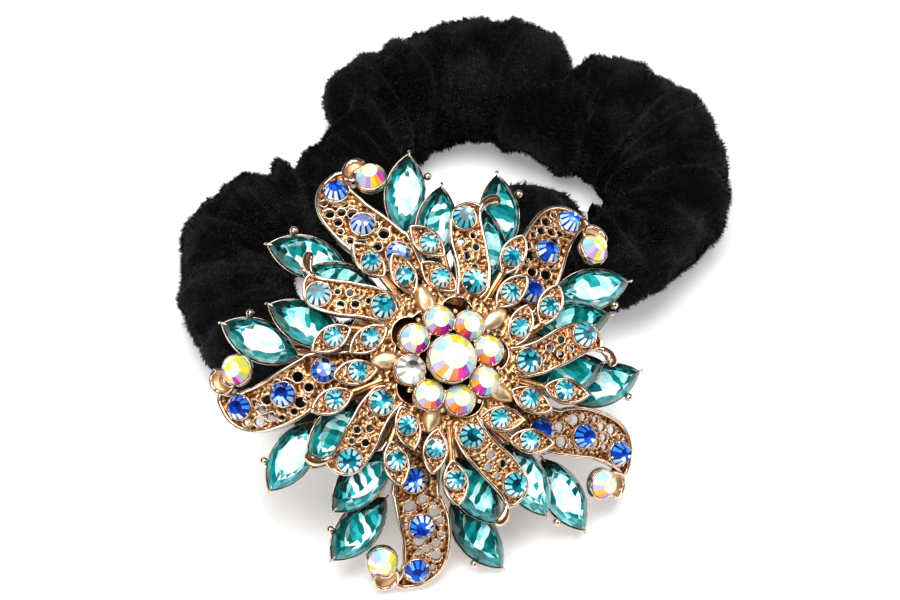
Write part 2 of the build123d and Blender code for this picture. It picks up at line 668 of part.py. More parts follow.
parts = {"scrunchie_cover": scrunchie_cover().solids(), "elastic_core": [elastic_core()]}
for name, shape in brooch_pieces().items():
    parts[name] = [BROOCH.location * solid for solid in (shape if isinstance(shape, list) else shape.solids())]
boxes = [solid.bounding_box() for solids in parts.values() for solid in solids]
low = [min(getattr(box.min, axis) for box in boxes) for axis in "XYZ"]
high = [max(getattr(box.max, axis) for box in boxes) for axis in "XYZ"]
to_origin = Pos(-(low[0] + high[0]) / 2, -(low[1] + high[1]) / 2, -low[2])
for name, solids in parts.items():
    placed = [to_origin * solid for solid in solids]
    export_step(placed[0] if len(placed) == 1 else Compound(children=placed), f"parts/{name}.step")
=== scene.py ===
# Looks of the jewelled hair tie: a black plush scrunchie with a rose gold flower brooch of cut stones.
# The brooch is worked out in millimetres in its own frame, with its back plane at z = 0.
import math
import random

import bmesh
import bpy
import numpy as np
from mathutils import Matrix, Vector, noise
from mathutils.geometry import delaunay_2d_cdt


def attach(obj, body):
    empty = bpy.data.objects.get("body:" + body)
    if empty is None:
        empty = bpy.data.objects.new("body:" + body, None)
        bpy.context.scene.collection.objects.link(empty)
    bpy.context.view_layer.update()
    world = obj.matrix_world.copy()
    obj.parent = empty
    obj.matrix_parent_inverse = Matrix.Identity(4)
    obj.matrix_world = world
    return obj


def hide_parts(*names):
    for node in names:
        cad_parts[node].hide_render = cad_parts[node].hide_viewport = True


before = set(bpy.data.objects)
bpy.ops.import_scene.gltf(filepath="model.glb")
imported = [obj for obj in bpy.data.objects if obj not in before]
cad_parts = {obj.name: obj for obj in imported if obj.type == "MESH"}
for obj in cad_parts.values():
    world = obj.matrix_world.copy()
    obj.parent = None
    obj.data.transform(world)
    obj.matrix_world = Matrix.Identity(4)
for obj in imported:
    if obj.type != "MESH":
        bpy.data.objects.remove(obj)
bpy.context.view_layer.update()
chance = random.Random(11)
dice = np.random.default_rng(5)
noise.seed_set(7)

MM = 0.001

# Scrunchie: the tube's route and girth, as in the solid
RING_RADIUS = 34.0
TUBE_RADIUS = 9.8
FLOOR_SAG = 0.8
PLEAT_DEPTH = 0.35
SEAT_SHIFT = -3.0
SEAT_DENT = 0.9
SEAT_GAP = 0.42  # how far the cloth stays behind the brooch's back plane
BROOCH_LEAN = 36.2
BROOCH_TURN = 17.7
COVER_ROWS = np.array([
    # across, back, outside, inside, lift
    (-0.04, -0.90, 1.12, 1.06, 0.14),
    (-0.37, -0.94, 1.04, 0.98, 0.09),
    (-0.72, -0.77, 1.00, 0.94, 0.00),
    (-0.97, -0.50, 1.02, 0.95, 0.00),
    (-1.05, -0.20, 1.04, 0.96, 0.00),
    (-1.00, 0.03, 1.05, 0.94, 0.00),
    (-0.84, 0.21, 1.02, 0.95, 0.00),
    (-0.66, 0.37, 0.77, 0.80, 0.00),
    (-0.53, 0.64, 0.82, 0.84, 0.00),
    (-0.38, 0.93, 1.05, 0.98, 0.00),
    (-0.17, 1.08, 1.04, 1.06, 0.00),
    (0.04, 1.15, 1.08, 1.08, 0.00),
    (0.33, 1.10, 1.12, 1.12, 0.00),
    (0.60, 0.91, 0.92, 0.96, 0.00),
    (0.85, 0.82, 1.12, 1.06, 0.00),
    (1.05, 0.60, 1.08, 1.02, 0.00),
    (1.12, 0.30, 1.06, 0.96, 0.00),
    (1.03, 0.02, 1.04, 0.85, 0.00),
    (0.80, -0.14, 1.00, 0.78, 0.00),
    (0.54, -0.16, 1.02, 1.02, 0.03),
    (0.27, -0.43, 1.04, 1.02, 0.09),
])
WAVES = [
    # bends round the ring, bends round the tube, layer of the noise, height
    (5, 0.8, 3.0, 1.5), (11, 0.9, 9.0, 1.5), (22, 1.6, 5.0, 0.6),
]
FURROWS = (8, 1.1, 17.0)  # bends and layer of the shallow furrows
FURROW_DEPTH = 0.42
FURROW_WIDTH = 0.18
CREASES = [
    # step, width, depth, middle angle, spread of angles
    (0.268, 0.008, 0.8, 60, 50), (0.297, 0.009, 2.8, 25, 60), (0.338, 0.011, 2.2, 70, 70),
    (0.366, 0.008, 3.0, 15, 45), (0.378, 0.008, 2.6, 15, 45), (0.386, 0.012, 2.0, 50, 90),
    (0.400, 0.013, 9.0, 26, 54), (0.430, 0.009, 1.0, 110, 50), (0.466, 0.010, 1.7, 30, 60),
    (0.500, 0.009, 0.9, 160, 40), (0.545, 0.010, 0.8, 120, 40), (0.607, 0.009, 3.9, 45, 80),
    (0.655, 0.011, 1.2, 140, 70), (0.700, 0.012, 1.3, 110, 80), (0.735, 0.011, 1.4, 150, 70),
    (0.775, 0.012, 1.4, 120, 80), (0.815, 0.011, 0.9, 60, 60), (0.845, 0.012, 1.2, 110, 80),
    (0.230, 0.012, 1.1, 130, 80), (0.190, 0.011, 0.9, 90, 60), (0.140, 0.012, 1.0, 100, 80),
]
CREASE_SWAY = 0.010  # how far a crease wanders along the ring, in steps
CREASE_LIP = 0.12  # height of the raised sides of a crease, in its depths
PUFFS = [
    # step, width, reach, middle angle, spread of angles
    (0.356, 0.044, 7.0, 203, 58), (0.322, 0.018, 2.6, 215, 50), (0.460, 0.012, 1.8, 210, 40),
    (0.648, 0.026, 2.1, 55, 60), (0.205, 0.085, -1.5, 0, 55), (0.402, 0.018, -5.2, 335, 42),
    (0.432, 0.012, 1.3, 355, 40), (0.690, 0.020, 2.0, 25, 55), (0.755, 0.030, 1.9, 190, 40),
    (0.598, 0.018, -1.4, 217, 38), (0.550, 0.030, -0.6, 228, 38), (0.912, 0.020, 5.8, 133, 60),
    (0.880, 0.010, -1.5, 137, 50), (0.850, 0.020, 4.2, 140, 50), (0.833, 0.050, -3.6, 325, 50),
    (0.228, 0.018, 1.3, 10, 55), (0.438, 0.014, -1.4, 35, 45), (0.545, 0.026, 1.1, 50, 55),
    (0.584, 0.013, 1.9, 45, 55), (0.624, 0.012, 1.3, 50, 55), (0.682, 0.012, 0.8, 20, 50),
    (0.724, 0.018, 2.1, 8, 55), (0.768, 0.022, 1.0, 2, 55),
]
COVER_STEPS = 420  # sections round the ring
COVER_SIDES = 104  # points round one section
CLOTH_INSET = 0.2  # room left for the pile inside the tube's girth
CLOTH_LOW = 0.12  # lowest height of the cloth
PILE_COUNT = 190000
PILE_PIECES = 2
PILE_LENGTH = 0.75
PILE_UNEVEN = (0.85, 0.5, 0.25)  # its mean share, how much tufts differ, how much hairs differ
PILE_WIDTH = 0.16
PILE_ROOT = 0.1  # how far a hair starts inside the cloth
PILE_LOW = 0.03  # lowest height of a hair
PILE_LEAN = (1.6, 0.3, 0.10)  # lean with the noise, along the ring and upwards
HAIR_STRAY = 0.20
LEAN_SCALE = 0.2  # bends of the noise in a millimetre, for the lean and for the tufts
TUFT_SCALE = 0.55
TUFT_STEPS = 2  # sections that share one row of tufts
TUFT_PULL = 0.5  # how far the hairs of a tuft draw together
TUFT_SCATTER = 0.42  # how far the middles of the tufts stray

# Plates, cups and granules of the castings
METAL = 0.9
STACK_GAP = 0.15
STONE_GAP = 0.1
CUP_WALL = 0.38
CUP_FLOOR = 0.25
CUP_PLAY = 0.03  # between a stone and its bezel
CUP_LIP = 0.03  # how far a bezel stands over the girdle's foot, in depths of the stone
BEZEL = 0.16
CLAW_LINE = [
    # out from the cup, height over the stone's girdle
    (0.10, -0.70), (0.04, -0.10), (-0.12, 0.14), (-0.40, 0.28),
]
CLAW_GIRTH = [
    # share of its length, share of its width
    (0.0, 1.0), (0.6, 1.1), (0.9, 1.0), (1.0, 0.5),
]
FLOOR_DEPTH = 0.3  # how far a leaf's floor lies below its plate's top
GRAIN_HEIGHT = 0.32
GRAIN_RADIUS = 0.62  # radius of a grain of the floors, in grain sizes
COLLAR_WIRE = 0.13  # wire ring round a pierced hole: its radius, how far out and how high it lies
COLLAR_OUT = 0.12
COLLAR_RISE = 0.2
GRANULE = 0.17  # granules on that ring
GRANULE_OUT = 0.2
GRANULE_RISE = 0.27
SHEET_STRAY = 0.2  # how far the inner points of a sheet stray, in spacings
SHEET_CLEAR = 0.5  # how far they keep from its rims
HOLE_SIDE = 1.5  # length of one side of a hole's rim
HOLE_SIDES = 12  # fewest sides of a hole's rim
BORE = 2.15
BOSS_RADIUS = 4.6

# Stones: diameters, and depths and girdles in shares of them
SMALL_STONE = 3.0
LEAF_STONE = 3.8
CURL_STONE = 4.6
CLUSTER_STONE = 4.6
CENTRE_STONE = 7.3
MARQUISE_LENGTH = 13.0
MARQUISE_WIDTH = 6.5
ROUND_DEPTH = 0.56
MARQUISE_DEPTH = 0.46
GIRDLE_LOW = 0.28
GIRDLE_HIGH = 0.36
CURL_RISE = 0.5

# Lower leaves. A rim is its width, its low and its high edge
LEAF_COUNT = 5
LOWER_TURN = 46.3
LOWER_REACH = 35.0
LOWER_ROOT = 0.75
LOWER_HUB = 10.0
LOWER_TOP = 7.4
LOWER_ARCH = (LOWER_TOP, 14.0, LOWER_REACH, 6.6)  # top, where the arch starts, reach, drop
LOWER_SPACING = 0.2
LOWER_GRAIN = 0.52
LOWER_FADE = 0.8
LOWER_RIM = (0.56, -METAL, 0.75)
LOWER_LEFT = [
    # along, across
    (0.540, -0.054), (0.600, -0.086), (0.657, -0.120), (0.726, -0.143), (0.794, -0.154),
    (0.854, -0.154), (0.906, -0.137), (0.946, -0.106), (0.974, -0.063), (0.989, -0.014),
    (0.994, 0.020), (0.984, 0.050),
]
LOWER_RIGHT = [
    (0.563, 0.140), (0.620, 0.128), (0.669, 0.110), (0.737, 0.083), (0.794, 0.057),
    (0.854, 0.039), (0.906, 0.030), (0.943, 0.031), (0.969, 0.043),
]
CURL_OUT = [(0.969, 0.043), (1.000, 0.069), (1.011, 0.109), (0.997, 0.143), (0.974, 0.154)]
CURL_IN = [(0.951, 0.140), (0.960, 0.115), (0.953, 0.085), (0.925, 0.062)]
CURL_RIM = (0.44, -METAL, 1.0)
CURL_SPACING = 0.25
CURL_LIFT = 0.45  # how far the leaf's rim rises along the curl
CURL_DISH = (0.55, 0.75)  # height of the curl's edge, and how steeply it falls inwards
CURL_POST = [(1.5, -CURL_RISE - METAL), (1.5, -0.2), (2.2, CUP_FLOOR)]
WEB = (1.6, -METAL, 0.1)  # bridge from the stone's cup to the curl
WEB_END = (0.981, 0.112)
LARGE_HOLE = 0.5  # radius from which a hole has nine granules instead of six
LOWER_HOLES = [
    # along, across, radius
    (0.849, -0.110, 0.021), (0.829, -0.060, 0.018), (0.857, -0.025, 0.015), (0.800, -0.020, 0.022),
    (0.797, -0.098, 0.019), (0.660, -0.060, 0.025), (0.652, 0.055, 0.024), (0.704, 0.040, 0.016),
    (0.694, -0.095, 0.015), (0.612, 0.000, 0.020), (0.905, -0.105, 0.013), (0.745, 0.045, 0.013),
    (0.752, -0.112, 0.013), (0.880, -0.060, 0.011), (0.630, -0.050, 0.010),
]

# Upper leaves
UPPER_TURN = 10.9
UPPER_TOP = 11.4
UPPER_REACH = 26.0
UPPER_ARCH = (UPPER_TOP, 13.0, UPPER_REACH, 2.0)
UPPER_SPACING = 0.19
UPPER_GRAIN = 0.5
UPPER_RIM = (0.5, -METAL, 0.65)
UPPER_HUB_OUT = 12.2
UPPER_HUB_IN = 8.4
UPPER_COLLAR = 0.9  # radius of the collars, in radii of the holes
MOUTH_LOBE = 1.5  # how far the hub's opening widens between its petals
MOUTH_TURN = 6.0
MOUTH_RIM = (0.3, -METAL, 0.12)
UPPER_SHIFT = (0.15, 0.7)
SPOKE_TURN = 39.6
SPOKE = (3.0, -METAL, 0)
PETAL_PLACE = 9.6
PETAL_LENGTH = 2.7  # half of it, as with the width
PETAL_WIDTH = 1.5
PETAL_WAIST = 0.35
PETAL_SIDES = 28
PETAL_RINGS = [
    # share of the outline, height
    (1.0, -METAL), (1.0, 0.0), (0.93, 0.45), (0.7, 0.75), (0.35, 0.92),
]
UPPER_LEFT = [
    (0.390, 0.012), (0.473, 0.012), (0.546, 0.000), (0.623, -0.025), (0.700, -0.056), (0.788, -0.073),
    (0.873, -0.075), (0.923, -0.052), (0.954, -0.006), (0.969, 0.050), (0.960, 0.090),
]
UPPER_RIGHT = [
    (0.390, 0.150), (0.440, 0.188), (0.504, 0.192), (0.585, 0.185), (0.658, 0.165), (0.727, 0.148),
    (0.800, 0.123), (0.873, 0.102), (0.923, 0.096),
]
HOOK = [(0.900, 0.098), (0.923, 0.096), (0.965, 0.108), (0.996, 0.142), (1.008, 0.185), (0.992, 0.208)]
HOOK_GIRTH = [
    # share of its length, radius
    (0, 0.25), (0.3, 0.48), (0.65, 0.84), (0.88, 0.80), (1, 0.35),
]
HOOK_LIFT = (0.1, 0.8)  # height of the hook's start, and its rise to the end
# The dark scoop on a hook is a rod painted nearly black, as the shade inside the hook's hollow
SCOOP_SHADE_START = 0.35
SCOOP_SHADE_RISE = 0.62  # the dark scoop on a hook: its height and girth, in girths of the hook
SCOOP_SHADE_GIRTH = 0.5
UPPER_HOLES = [
    (0.720, 0.005, 0.024), (0.700, 0.095, 0.022), (0.640, 0.045, 0.025), (0.770, 0.070, 0.018),
    (0.575, 0.100, 0.020),
]
SMALL_LEAVES = [
    # radius, angle, direction
    (18.35, 27.3, 68.0), (12.6, 23.2, 71.0), (14.5, 46.3, 46.3), (19.3, 57.6, 62.0),
]
SMALL_LEAF_TIP = 4.1
SMALL_LEAF_HEEL = 3.3
SMALL_LEAF_WIDTH = 3.9
SMALL_LEAF_RIM = (0.44, -METAL, 0.6)
SMALL_LEAF_GRAIN = 0.46
SMALL_LEAF_BEAD = 0.24
SMALL_LEAF_BEADS = [(2.55, 0.0), (2.15, 0.62), (2.15, -0.62), (-2.25, 0.3), (-2.2, -0.35)]
STEM = (1.3, -METAL, 0)

# Places of the stones: radius and angle, and direction of the pointed ones
SAPPHIRE_PLACES = [(32.0, 48.3), (25.4, 47.3), (18.85, 39.9)]
CURL_PLACE = (31.6, 37.7)
LEAF_STONE_PLACES = [(22.4, 10.9), (12.9, -1.1)]
OUTER_PLACES = [(28.5, 28.2, 13.0), (27.2, -4.2, 21.0)]
INNER_PLACES = [(22.4, 19.7, 11.0), (20.3, -3.0, 20.0)]
STONE_REST = CUP_FLOOR + STONE_GAP

# Star of pointed cups
OUTER_LEVEL = 1.15
INNER_LEVEL = 5.0
STAR_METAL = 0.8
STAR_HUB = 9.6
STAR_WALL = 1.2
STAR_ARM = (2.2, -0.4, 0.4)
POINT_WALL = 0.14  # wall of a pointed cup
POINT_OUT = 0.09  # how far it stands out from the stone, and how far it ends below the girdle
POINT_SUNK = 0.6
PRONG_FOOT = (0.55, 0.3)  # foot of the prong at a tip: out from the tip, height
PRONG_LINE = [
    # out from the tip, height over the girdle
    (0.5, -0.3), (-0.05, 0.05), (-0.6, 0.15),
]
PRONG_GIRTH = (0.22, 0.1)
BALL_PRONG = 0.66
BALL_X, BALL_Y = 0.25 * MARQUISE_LENGTH, -0.505 * MARQUISE_WIDTH
BALL_STEM = 0.38

# Cluster
CLUSTER_COUNT = 8
CLUSTER_RADIUS = 6.4
CLUSTER_TURN = 60.0
CLUSTER_TOP = 13.2
CENTRE_TOP = 15.2
CLUSTER_BORE = 0.5
CLUSTER_SIDE = [
    # radius, height
    (4.6, 11.55), (6.6, 11.65), (7.6, 11.5), (7.0, 11.9), (4.35, 12.1), (3.85, 14.6), (3.75, CENTRE_TOP),
]
CLUSTER_BEADS = [
    # radius, out from the circle of stones, height over their cups
    (0.42, 1.5, 0.3), (0.34, -1.4, 1.0),
]
CLEAR_STONE = 4  # the one stone of the cluster without an aurora coating


# Places

def shift(x, y, z=0.0):
    place = np.eye(4)
    place[:3, 3] = x, y, z
    return place


def spin(angle):
    """Turn about +Z, in degrees."""
    a = math.radians(angle)
    place = np.eye(4)
    place[:2, :2] = (math.cos(a), -math.sin(a)), (math.sin(a), math.cos(a))
    return place


def tip(angle):
    """Turn about +Y, which lowers what points along +X."""
    a = math.radians(angle)
    place = np.eye(4)
    place[0, 0], place[0, 2], place[2, 0], place[2, 2] = math.cos(a), math.sin(a), -math.sin(a), math.cos(a)
    return place


def polar(radius, angle):
    a = math.radians(angle)
    return radius * math.cos(a), radius * math.sin(a)


def arch_bend(arch):
    """Radius of an arch."""
    _, flat, reach, drop = arch
    return ((reach - flat) ** 2 + drop ** 2) / (2 * drop)


def bent(points, arch):
    """Points of a flat leaf along +X, with heights over its plate's top, laid on its arch."""
    points = np.array(points, float)
    turn = np.arcsin(np.clip(points[:, 0] - arch[1], 0, None) / arch_bend(arch))
    height = points[:, 2].copy()
    points[:, 0] += height * np.sin(turn)
    points[:, 2] = arch[0] - arch_bend(arch) * (1 - np.cos(turn)) + height * np.cos(turn)
    return points


def arch_place(radius, angle, turn, arch):
    """Place of a stone on an arched leaf's top."""
    along, aside = polar(radius, angle - turn)
    tilt = math.asin(max(along - arch[1], 0) / arch_bend(arch))
    sink = arch_bend(arch) * (1 - math.cos(tilt))
    return spin(turn) @ shift(along, aside, arch[0] - sink) @ tip(math.degrees(tilt))


SLIDE = shift(*UPPER_SHIFT)
REST = shift(0, 0, STONE_REST)


def lower_place(radius, angle, turn):
    return spin(turn) @ arch_place(radius, angle, LOWER_TURN, LOWER_ARCH)


def curl_place(turn):
    return lower_place(*CURL_PLACE, turn) @ shift(0, 0, CURL_RISE)


def upper_place(radius, angle, turn):
    return SLIDE @ spin(turn) @ arch_place(radius, angle, UPPER_TURN, UPPER_ARCH)


def leaf_turns():
    return [360 * k / LEAF_COUNT for k in range(LEAF_COUNT)]


def all_round(rows):
    """Rows of radius, angle and direction, repeated for every leaf."""
    return [(radius, angle + turn, way + turn) for turn in leaf_turns() for radius, angle, way in rows]


def middle(node):
    points = np.array([v.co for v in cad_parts[node].data.vertices])
    return Vector(points.mean(axis=0))


def brooch_frame():
    """The brooch's own frame in the part's metres, read from the stones of the solid model."""
    ring = [middle(f"outer_marquise_{k}") for k in range(1, 2 * LEAF_COUNT + 1)]
    low = sum(ring, Vector()) / len(ring)
    face = (middle("centre_stone") - low).normalized()
    heights = [(v.co - low).dot(face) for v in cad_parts["centre_stone"].data.vertices]
    origin = low + face * (min(heights) - (CENTRE_TOP + STONE_REST) * MM)
    first = ring[0] - low
    first = (first - face * first.dot(face)).normalized()
    across = Matrix.Rotation(-math.radians(OUTER_PLACES[0][1]), 3, face) @ first
    place = np.eye(4)
    place[:3, 0], place[:3, 1], place[:3, 2] = across, face.cross(across), face
    place[:3, :3] *= MM
    place[:3, 3] = origin
    return place


BROOCH = brooch_frame()
PART = np.diag([MM, MM, MM, 1.0])


# Shapes

def for_each(value, faces):
    """One value for all faces, or a list with a value for each."""
    return list(value) if hasattr(value, "__len__") else [value] * len(faces)


class Shape:
    """Points and faces of one piece, with a finish, a shade and a smoothness for every face."""

    def __init__(self):
        self.points = []
        self.faces = []
        self.finishes = []
        self.shades = []
        self.smooth = []
        self.count = 0

    def add(self, part, finish=0, shades=0.0, smooth=True, place=None):
        points, faces = np.asarray(part[0], float), part[1]
        if place is not None:
            points = points @ place[:3, :3].T + place[:3, 3]
        self.points.append(points)
        self.faces += [tuple(k + self.count for k in face) for face in faces]
        self.finishes += for_each(finish, faces)
        self.shades += for_each(shades, faces)
        self.smooth += [smooth] * len(faces)
        self.count += len(points)

    def add_leaf(self, leaf, arch, place):
        """Lay a flat leaf on its arch."""
        self.add((bent(np.vstack(leaf.points), arch), leaf.faces), leaf.finishes, leaf.shades, place=place)

    def make(self, name, materials, place, slot, nodes=(), recalc=True):
        """The piece in the part's metres, standing for its CAD nodes."""
        points = np.vstack(self.points) @ place[:3, :3].T + place[:3, 3]
        mesh = bpy.data.meshes.new(name)
        mesh.from_pydata(points.tolist(), [], self.faces)
        mesh.polygons.foreach_set("material_index", self.finishes)
        mesh.polygons.foreach_set("use_smooth", self.smooth)
        shade = mesh.attributes.new("shade", "FLOAT", "FACE")
        shade.data.foreach_set("value", self.shades)
        for material in materials:
            mesh.materials.append(material)
        if recalc:
            work = bmesh.new()
            work.from_mesh(mesh)
            bmesh.ops.recalc_face_normals(work, faces=work.faces)
            work.to_mesh(mesh)
            work.free()
        piece = bpy.data.objects.new(name, mesh)
        bpy.context.scene.collection.objects.link(piece)
        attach(piece, "root")
        if nodes:
            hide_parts(*nodes)
        return piece


def between(a, b, c, d, f):
    """Point at the share f from b to c, on a smooth line that comes from a and goes on to d."""
    return 0.5 * (2 * b + (c - a) * f + (2 * a - 5 * b + 4 * c - d) * f ** 2
                  + (3 * b - a - 3 * c + d) * f ** 3)


def smooth_line(points, step=0.35, closed=False):
    """Smooth line through given points, with a point about every step."""
    points = [np.array(p, float) for p in points]
    count = len(points)
    line = []
    for i in range(count if closed else count - 1):
        if closed:
            a, b, c, d = (points[(i + k) % count] for k in (-1, 0, 1, 2))
        else:
            a, b, c, d = (points[min(max(i + k, 0), count - 1)] for k in (-1, 0, 1, 2))
        for f in np.arange(0, 1, step / max(np.linalg.norm(c - b), step)):
            line.append(between(a, b, c, d, f))
    if not closed:
        line.append(points[-1])
    return np.array(line)


def lifted(line, height):
    """A flat line at one height, or at a height for each point."""
    line = np.asarray(line, float)
    return np.column_stack([line[:, :2], np.broadcast_to(height, len(line))])


def ring_faces(rows, width, closed=False):
    """Faces between rows of points. A closed run joins its last row to its first, an open one has ends."""
    faces = []
    for i in range(rows if closed else rows - 1):
        here, there = i * width, (i + 1) % rows * width
        for k in range(width):
            m = (k + 1) % width
            faces.append((here + k, here + m, there + m, there + k))
    if not closed:
        faces.append(tuple(range(width))[::-1])
        faces.append(tuple((rows - 1) * width + k for k in range(width)))
    return faces


def sweep(path, section, closed=False, up=(0, 0, 1)):
    """Section of (aside, up) points carried along a path. An array of sections may change along it."""
    path = np.asarray(path, float)
    section = np.asarray(section, float)
    if section.ndim == 2:
        section = np.broadcast_to(section, (len(path),) + section.shape)
    if closed:
        way = np.roll(path, -1, axis=0) - np.roll(path, 1, axis=0)
    else:
        way = np.gradient(path, axis=0)
    way /= np.linalg.norm(way, axis=1)[:, None]
    side = np.cross(way, np.asarray(up, float))
    side /= np.maximum(np.linalg.norm(side, axis=1), 1e-6)[:, None]
    lift = np.cross(side, way)
    points = path[:, None] + section[..., :1] * side[:, None] + section[..., 1:] * lift[:, None]
    return points.reshape(-1, 3), ring_faces(*points.shape[:2], closed)


def wall(line, size, height=0, closed=False):
    """Wall with a rounded top along a flat line, by its width and its low and high edge."""
    width, low, high = size
    half, fall = width / 2, width * 0.3
    left = [(-half, low), (-half, high - fall), (-half + fall * 0.5, high - fall * 0.25)]
    section = left + [(0, high)] + [(-aside, up) for aside, up in left[::-1]]
    return sweep(lifted(line, height), section, closed)


def circle(radius, sides):
    a = 2 * np.pi * np.arange(sides) / sides
    return np.column_stack([radius * np.cos(a), radius * np.sin(a)])


def rod(path, radii, sides=8, up=(0, 0, 1)):
    """Round wire whose radius may change along it."""
    radii = np.broadcast_to(np.asarray(radii, float), len(path))
    return sweep(path, circle(1, sides)[None] * radii[:, None, None], up=up)


def girths(table, count):
    """Radii at the points of a wire, from a table of shares of its length and radii."""
    shares, radii = np.array(table).T
    return np.interp(np.linspace(0, 1, count), shares, radii)


def lathe(profile, sides, closed=False):
    """Profile of (radius, height) points turned about +Z. A closed one is a ring."""
    rings = [lifted(circle(radius, sides), height) for radius, height in profile]
    return np.vstack(rings), ring_faces(len(rings), sides, closed)


def tube(inner, outer, low, high, sides):
    """Plain ring about +Z."""
    return lathe([(inner, low), (inner, high), (outer, high), (outer, low)], sides, closed=True)


def ball(radius, detail=1):
    work = bmesh.new()
    bmesh.ops.create_icosphere(work, subdivisions=detail, radius=radius)
    points = np.array([v.co for v in work.verts])
    faces = [tuple(v.index for v in face.verts) for face in work.faces]
    work.free()
    return points, faces


def inside(points, outline):
    """Which points lie inside a closed outline."""
    found = np.zeros(len(points), bool)
    for (ax, ay), (bx, by) in zip(outline, np.roll(outline, -1, axis=0)):
        crosses = (ay > points[:, 1]) != (by > points[:, 1])
        if ay != by:
            found ^= crosses & (points[:, 0] < (bx - ax) * (points[:, 1] - ay) / (by - ay) + ax)
    return found


def edge_distance(points, outline):
    best = np.full(len(points), 1e9)
    for a, b in zip(outline, np.roll(outline, -1, axis=0)):
        way = b - a
        f = np.clip(((points - a) @ way) / max(way @ way, 1e-9), 0, 1)
        best = np.minimum(best, np.linalg.norm(points - a - f[:, None] * way, axis=1))
    return best


def sheet_plan(outline, spacing, holes=(), mouths=()):
    """Triangles of a pierced sheet: its points, its triangles and the edges of its rims."""
    rims = [np.asarray(outline, float)[:, :2], *mouths]
    for x, y, radius in holes:
        sides = max(HOLE_SIDES, int(2 * math.pi * radius / spacing / HOLE_SIDE))
        rims.append(circle(radius, sides) + (x, y))
    low, high = rims[0].min(axis=0), rims[0].max(axis=0)
    columns, rows = (np.arange(low[k], high[k], spacing) for k in (0, 1))
    grid = np.stack(np.meshgrid(columns, rows), -1)
    grid[1::2, :, 0] += spacing / 2
    grid = grid.reshape(-1, 2)
    grid += dice.uniform(-SHEET_STRAY, SHEET_STRAY, grid.shape) * spacing
    grid = grid[inside(grid, rims[0])]
    for rim in rims:
        grid = grid[edge_distance(grid, rim) > SHEET_CLEAR * spacing]
    for rim in rims[1:]:
        grid = grid[~inside(grid, rim)]
    points, edges = [], []
    for rim in rims:
        start = len(points)
        points += [Vector(p) for p in rim]
        edges += [(start + k, start + (k + 1) % len(rim)) for k in range(len(rim))]
    points += [Vector(p) for p in grid]
    made, _, triangles, _, _, _ = delaunay_2d_cdt(points, edges, [], 0, 1e-5)
    made = np.array(made)
    triangles = np.array([t for t in triangles if len(t) == 3])
    centres = made[triangles].mean(axis=1)
    keep = inside(centres, rims[0])
    for rim in rims[1:]:
        keep &= ~inside(centres, rim)
    triangles = triangles[keep]
    once = {}
    for triangle in triangles:
        for a, b in zip(triangle, np.roll(triangle, -1)):
            key = (min(a, b), max(a, b))
            once[key] = None if key in once else (a, b)
    return made, triangles, [edge for edge in once.values() if edge]


def sheet_part(plan, top, low):
    """Closed sheet from a plan, with one flat underside and a height for each point of its top."""
    points, triangles, rim = plan
    count = len(points)
    faces = [tuple(t) for t in triangles] + [tuple(t[::-1] + count) for t in triangles]
    faces += [(b, a, a + count, b + count) for a, b in rim]
    return np.vstack([lifted(points, top), lifted(points, low)]), faces


def grain_sheet(plan, size, seed, fade=1.3, edge=0.35):
    """Granulated plate: its form, its finish and its shades. Its pits are painted dark, as patina and as the
    shade in them, more so with a low fade.
    """
    heights = np.empty(len(plan[0]))
    for i, (x, y) in enumerate(plan[0]):
        near = noise.voronoi(Vector((x / size + seed, y / size, seed)))[0]
        heights[i] = math.sqrt(max(0.0, 1 - (near[0] / GRAIN_RADIUS) ** 2))
    top = GRAIN_HEIGHT * heights - FLOOR_DEPTH
    pits = 1 - (top - top.min()) / GRAIN_HEIGHT
    shades = np.concatenate([pits[plan[1]].mean(axis=1) ** fade, np.full(len(plan[1]) + len(plan[2]), edge)])
    return sheet_part(plan, top, -METAL), FLOOR, shades


# Castings

RIM, FLOOR, HOLLOW, HORN = 0, 1, 2, 3  # their finishes


def cup(diameter, sunk, sides=28):
    """Thin bezel round a stone that stands on z = 0, with a foot that is sunk into the plate."""
    inner = diameter / 2 + CUP_PLAY
    foot = diameter / 2 + STONE_GAP + CUP_WALL * 0.6
    height = STONE_REST + diameter * ROUND_DEPTH * (GIRDLE_LOW + CUP_LIP)
    profile = [(inner, 0.0), (inner, height - 0.05), (inner + BEZEL / 2, height),
               (inner + BEZEL, height - 0.06), (foot, 0.1), (foot, -sunk), (inner, -sunk)]
    return lathe(profile, sides, closed=True)


def claw(diameter, width):
    """Prong that bends over a stone's girdle, standing at +X."""
    height = STONE_REST + diameter * ROUND_DEPTH * GIRDLE_HIGH
    edge = diameter / 2 + STONE_GAP
    path = smooth_line([(edge + out, 0, height + rise) for out, rise in CLAW_LINE], 0.12)
    return rod(path, width * girths(CLAW_GIRTH, len(path)), 7, up=(0, 1, 0))


def seat(shape, place, diameter, prongs, sunk=METAL / 2, turn=0.0, width=0.2):
    """Cup with its prongs."""
    shape.add(cup(diameter, sunk), RIM, place=place)
    for k in range(prongs):
        shape.add(claw(diameter, width), RIM, place=place @ spin(360 * (k + 0.5) / prongs + turn))


def collar(leaf, x, y, radius, granules):
    """Wire ring with granules round a pierced hole of a flat leaf."""
    wire = circle(COLLAR_WIRE, 7) + (radius + COLLAR_OUT, COLLAR_RISE - FLOOR_DEPTH)
    ring, faces = lathe(wire, 20, closed=True)
    leaf.add((ring + (x, y, 0), faces), RIM)
    granule, faces = ball(GRANULE)
    turn = chance.uniform(0, 360)
    for k in range(granules):
        dx, dy = polar(radius + GRANULE_OUT, 360 * k / granules + turn)
        spot = (x + dx, y + dy, GRANULE_RISE - FLOOR_DEPTH)
        leaf.add((granule * chance.uniform(0.75, 1.2) + spot, faces), RIM)


def in_mm(rows, reach):
    """Points of a leaf, or its holes with their radii, from shares of its reach."""
    return np.array(rows) * (reach, -reach, reach)[:len(rows[0])]


